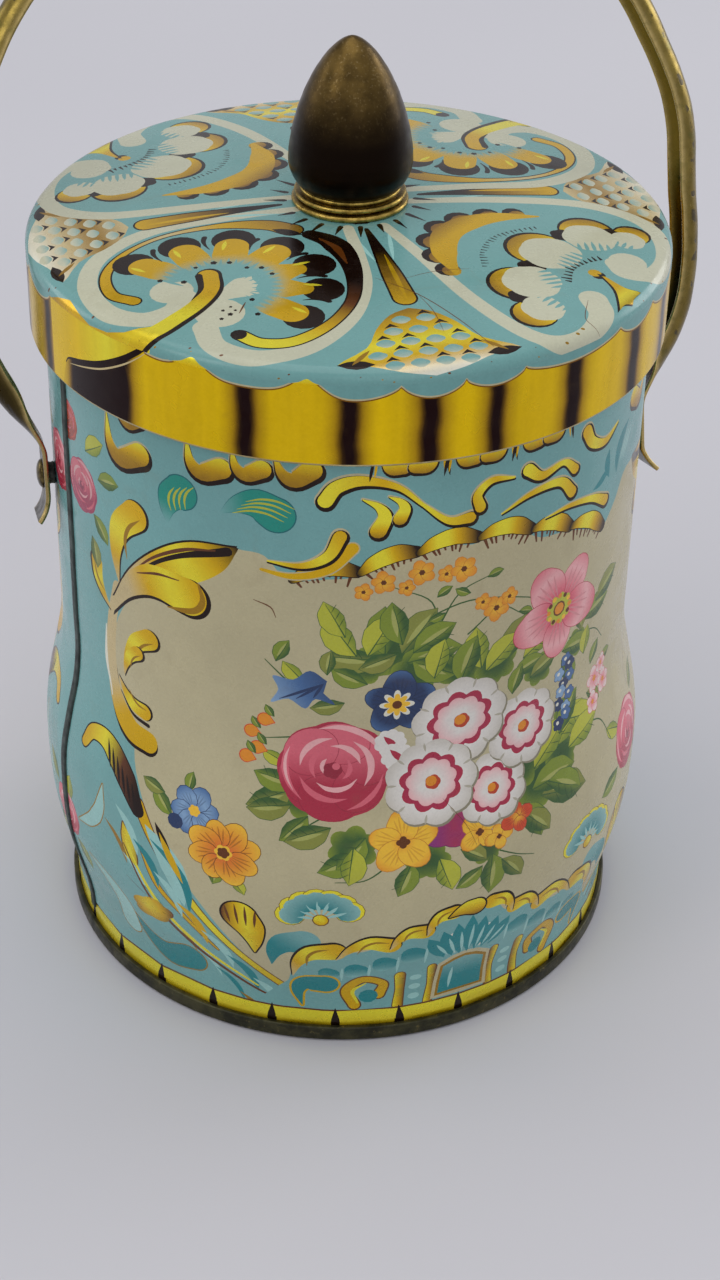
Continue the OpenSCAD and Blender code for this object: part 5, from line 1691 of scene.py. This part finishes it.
def face_outwards(piece):
    """Turn all faces of a closed mesh outwards."""
    mesh = bmesh.new()
    mesh.from_mesh(piece.data)
    bmesh.ops.recalc_face_normals(mesh, faces=mesh.faces)
    mesh.to_mesh(piece.data)
    mesh.free()


# ---------------------------------------------------------------- stage, light and camera
def build_stage():
    """A pale floor, just below the tin's foot."""
    look = Look("pale_floor")
    tone = look.ramp(look.noise(400, 2, 0.5), 0.3, 0.7)
    hue = look.mix(tone, (0.60, 0.592, 0.625), (0.625, 0.618, 0.65))
    floor_look = look.done(hue, 0.0, 0.75)
    n, size = 40, 16.0
    verts = [((i / n - 0.5) * size, (j / n - 0.5) * size, -0.0002) for j in range(n + 1)
             for i in range(n + 1)]
    faces = [(j * (n + 1) + i, j * (n + 1) + i + 1, (j + 1) * (n + 1) + i + 1, (j + 1) * (n + 1) + i)
             for j in range(n) for i in range(n)]
    mesh = bpy.data.meshes.new("floor")
    mesh.from_pydata(verts, [], faces)
    mesh.materials.append(floor_look)
    floor = bpy.data.objects.new("floor", mesh)
    bpy.context.scene.collection.objects.link(floor)


def area_light(name, place, target, size, watts, colour=(1, 1, 1)):
    """A round lamp aimed at a target."""
    data = bpy.data.lights.new(name, "AREA")
    data.shape, data.size, data.energy, data.color = "DISK", size, watts, colour
    lamp = bpy.data.objects.new(name, data)
    lamp.location = place
    lamp.rotation_euler = (Vector(target) - Vector(place)).to_track_quat("-Z", "Y").to_euler()
    bpy.context.scene.collection.objects.link(lamp)


def build_light():
    """Soft studio light: an even surround, a large lamp above, and weak ones in front and at the sides."""
    world = bpy.data.worlds.new("studio")
    world.use_nodes = True
    shade = world.node_tree.nodes["Background"]
    shade.inputs["Color"].default_value = (0.93, 0.94, 1.0, 1)
    shade.inputs["Strength"].default_value = 0.55
    bpy.context.scene.world = world
    area_light("overhead", (-0.12, 0.1, 2.0), (0, 0, 0.1), 2.2, 12.4)
    area_light("left_window", (-1.5, -0.7, 1.3), (0, 0, 0.1), 0.9, 3.8, (1, 0.99, 0.97))
    area_light("front_fill", (0.15, -1.8, 1.2), (0, 0, 0.03), 1.4, 2.2)
    area_light("right_rim", (1.1, 0.42, 0.4), (0, 0, 0.08), 0.7, 3.2)
    area_light("left_rim", (-1.1, 0.6, 0.4), (0, 0, 0.08), 0.6, 1.6)


def build_camera():
    """A long lens from above the front, turned slightly to the left of it."""
    turn, distance, height = math.radians(-11.5), 0.3992, 0.3301
    heading, pitch, roll = math.radians(-0.5), math.radians(34.5), math.radians(1.25)
    data = bpy.data.cameras.new("camera")
    data.sensor_fit, data.sensor_width, data.lens = "HORIZONTAL", 36, 121.6
    data.clip_start = 0.01
    camera = bpy.data.objects.new("camera", data)
    spot = Matrix.Rotation(turn, 4, "Z") @ Matrix.Translation((0, -distance, height))
    camera.matrix_world = (spot @ Matrix.Rotation(heading, 4, "Z")
                           @ Matrix.Rotation(math.pi / 2 - pitch, 4, "X")
                           @ Matrix.Rotation(roll, 4, "Z"))
    bpy.context.scene.collection.objects.link(camera)
    bpy.context.scene.camera = camera


# ---------------------------------------------------------------- put it together
lacquer = inside_look("inside_lacquer")
build_body(print_look("body_print_look"), lacquer,
           steel_look("seam_look", (0.03, 0.055, 0.045), (0.006, 0.012, 0.01), 0.35, 0.6, 0.3))
build_base(ring_look("base_ring_look"))
build_lid(print_look("lid_print_look", 0.24, 0.16, 0.06), skirt_look("lid_skirt_look"), lacquer)
# the collar is painted dark as shade at the heights of its two steps
build_finial(brass_look("collar_look", (0.6, 0.42, 0.1), (0.26, 0.17, 0.035), 2.0,
                        (SEAT_Z + 1.25, SEAT_Z + 2.55)), knob_look("knob_look"))
build_pivots(brass_look("rivet_look", (0.16, 0.12, 0.045), (0.04, 0.028, 0.01), 1.2),
             steel_look("spacer_look", (0.08, 0.08, 0.07), (0.015, 0.015, 0.013), 0.35, 0.6, 0.7))
build_strap(strap_look("strap_look"))
plain = steel_look("plain_steel_look", (0.55, 0.55, 0.54), (0.36, 0.35, 0.33), 0.25, 0.45)
for node in ("finial_screw", "finial_washer", "left_inner_washer", "right_inner_washer"):
    frame["nodes"][node].data.materials.clear()
    frame["nodes"][node].data.materials.append(plain)
build_stage()
build_light()
build_camera()
bpy.context.scene.view_settings.view_transform = "Standard"
